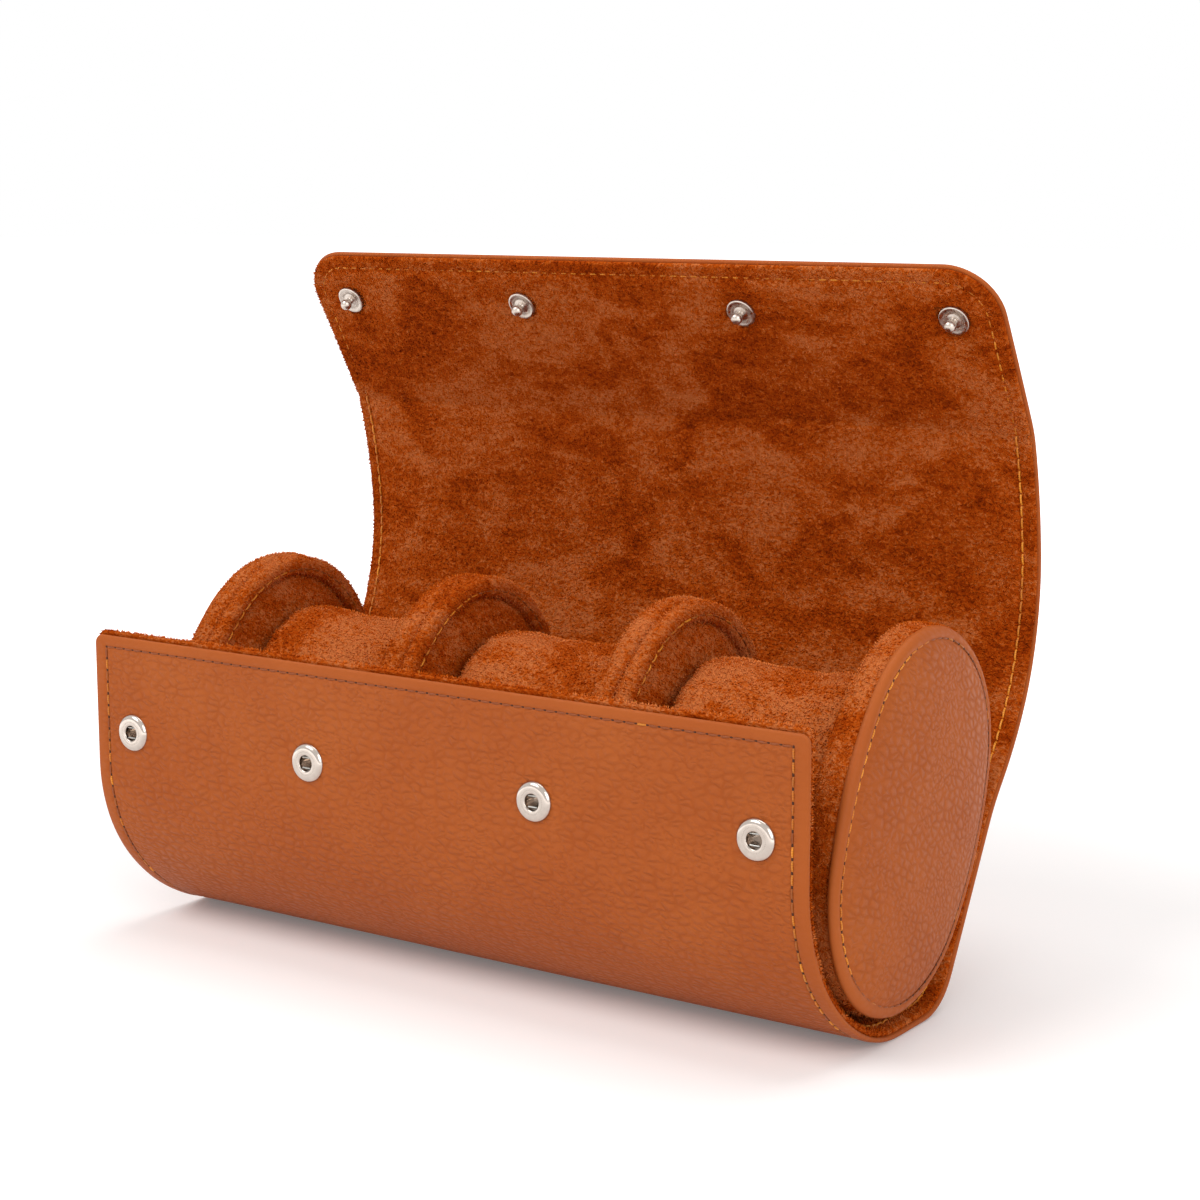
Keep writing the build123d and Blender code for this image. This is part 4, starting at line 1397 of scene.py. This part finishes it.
def fastener(name, size, node, body, finish):
    # the turned body with its pressed ridges, four times along the roll
    base = turnedMesh(size["profile"], size["loop"])
    ridges = grown("ridges", bpy.data.meshes.new("ridges"), ridgeTree(), {
        "Count": size["ridges"], "Ring Radius": size["ridgeRadius"] * mm,
        "Ridge Size": [v * mm for v in size["ridgeSize"]]}, finish)
    centre, inward = sheetAxis(size["at"])
    turn = Vector((0, 0, 1)).rotation_difference(inward * size["facing"]).to_matrix().to_4x4()
    work = bmesh.new()
    for x in snapX:
        for mesh, lift in ((base, 0.0), (ridges.data, size["height"])):
            count = len(work.verts)
            work.from_mesh(mesh)
            work.verts.ensure_lookup_table()
            fresh = work.verts[count:]
            bmesh.ops.translate(work, vec=(0, 0, lift * mm), verts=fresh)
            bmesh.ops.transform(work, matrix=turn, verts=fresh)
            at = centre + inward * size["depth"] + Vector((x, 0, 0))
            bmesh.ops.translate(work, vec=at * mm, verts=fresh)
    mesh = meshFrom(work, name)
    bpy.data.objects.remove(ridges)
    mesh.shade_smooth()
    mesh.set_sharp_from_angle(angle=math.radians(40))
    piece = addPiece(name, mesh, finish)
    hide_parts(node)
    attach(piece, body)


fastener("snapSockets", socket, "snap_sockets", "front_upper", nickelFinish)
fastener("snapStuds", stud, "snap_studs", "flap", studFinish)
# the springs, eyelets and caps are seen as the solids have them
for node in ("snap_springs", "snap_eyelets", "snap_caps"):
    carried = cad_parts[node]
    carried.data.materials.clear()
    carried.data.materials.append(wireFinish if node == "snap_springs" else nickelFinish)
print("snaps made")


# camera, floor and lights

view = {
    "location": (339.32, -467.72, 183.07),
    "turn": (80.473, 0.0, 34.484),
    "lens": 74.68,
    "sensor": 36.0,
}
camera = bpy.data.objects.new("camera", bpy.data.cameras.new("camera"))
camera.location = [v * mm for v in view["location"]]
camera.rotation_euler = [math.radians(v) for v in view["turn"]]
camera.data.lens, camera.data.sensor_width = view["lens"], view["sensor"]
camera.data.clip_start, camera.data.clip_end = 0.01, 20.0
scene.collection.objects.link(camera)
scene.camera = camera

studio = {
    # sizes in metres
    "floorSize": 6.0,
    "floorDrop": 0.0003,
    "floorColour": "#FBF9F8",
    "floorLift": 0.13,
    "fadeFrom": 0.16,             # past this distance the floor runs into plain white
    "fadeTo": 0.55,
    # name: place, size and power of each soft box, all aimed at the roll
    "lamps": {
        "keyLamp": ((-0.55, -0.95, 1.15), 0.9, 10.2),
        "fillLamp": ((1.25, -0.75, 0.7), 1.1, 8.6),
        "topLamp": ((0.1, 0.25, 1.5), 1.2, 8.4),
    },
    "aim": (0.0, 0.0, 0.07),
    "skyStrength": 0.42,
}


def seenOnly(tree):
    # 1 for what the camera sees straight, or in metal and glass
    path = addNode(tree, "ShaderNodeLightPath")
    seen = addNode(tree, "ShaderNodeMath", larger, [
        path.outputs["Is Camera Ray"], path.outputs["Is Glossy Ray"]])
    return addNode(tree, "ShaderNodeMath", larger, [seen, path.outputs["Is Transmission Ray"]])


def studioFloor():
    # white paper, which keeps the roll's shadow near it and runs into plain white further off
    size, drop = studio["floorSize"], -studio["floorDrop"]
    mesh = bpy.data.meshes.new("floor")
    corners = [(-size, -size, drop), (size, -size, drop), (size, size, drop), (-size, size, drop)]
    mesh.from_pydata(corners, [], [(0, 1, 2, 3)])
    material = bpy.data.materials.new("paperSweep")
    tree = emptyTree(material)
    matte = addNode(tree, "ShaderNodeBsdfDiffuse", {}, {"Color": srgb(studio["floorColour"])})
    place = addNode(tree, "ShaderNodeTexCoord").outputs["Object"]
    away = addNode(tree, "ShaderNodeVectorMath", {"operation": "LENGTH"}, [place]).outputs["Value"]
    lift = addNode(tree, "ShaderNodeMapRange", smoothly, [
        away, studio["fadeFrom"], studio["fadeTo"], studio["floorLift"], 1.0])
    lift = addNode(tree, "ShaderNodeMath", multiply, [seenOnly(tree), lift])
    glow = addNode(tree, "ShaderNodeEmission", {}, {"Color": srgb("#FFFFFF"), "Strength": lift})
    both = addNode(tree, "ShaderNodeAddShader", {}, [matte, glow])
    addNode(tree, "ShaderNodeOutputMaterial", {}, {"Surface": both})
    addPiece("floor", mesh, material)


def studioLights():
    aim = Vector(studio["aim"])
    for name, (place, size, power) in studio["lamps"].items():
        lamp = bpy.data.objects.new(name, bpy.data.lights.new(name, "AREA"))
        lamp.data.shape, lamp.data.size, lamp.data.energy = "DISK", size, power
        lamp.location = place
        lamp.rotation_euler = (aim - Vector(place)).to_track_quat("-Z", "Y").to_euler()
        scene.collection.objects.link(lamp)
    world = bpy.data.worlds.new("studio")
    tree = emptyTree(world)
    strength = addNode(tree, "ShaderNodeMath", larger, [seenOnly(tree), studio["skyStrength"]])
    sky = addNode(tree, "ShaderNodeBackground", {}, {"Color": srgb("#FFFFFF"), "Strength": strength})
    addNode(tree, "ShaderNodeOutputWorld", {}, {"Surface": sky})
    scene.world = world


studioFloor()
studioLights()
scene.view_settings.view_transform = "Standard"
print("studio made")
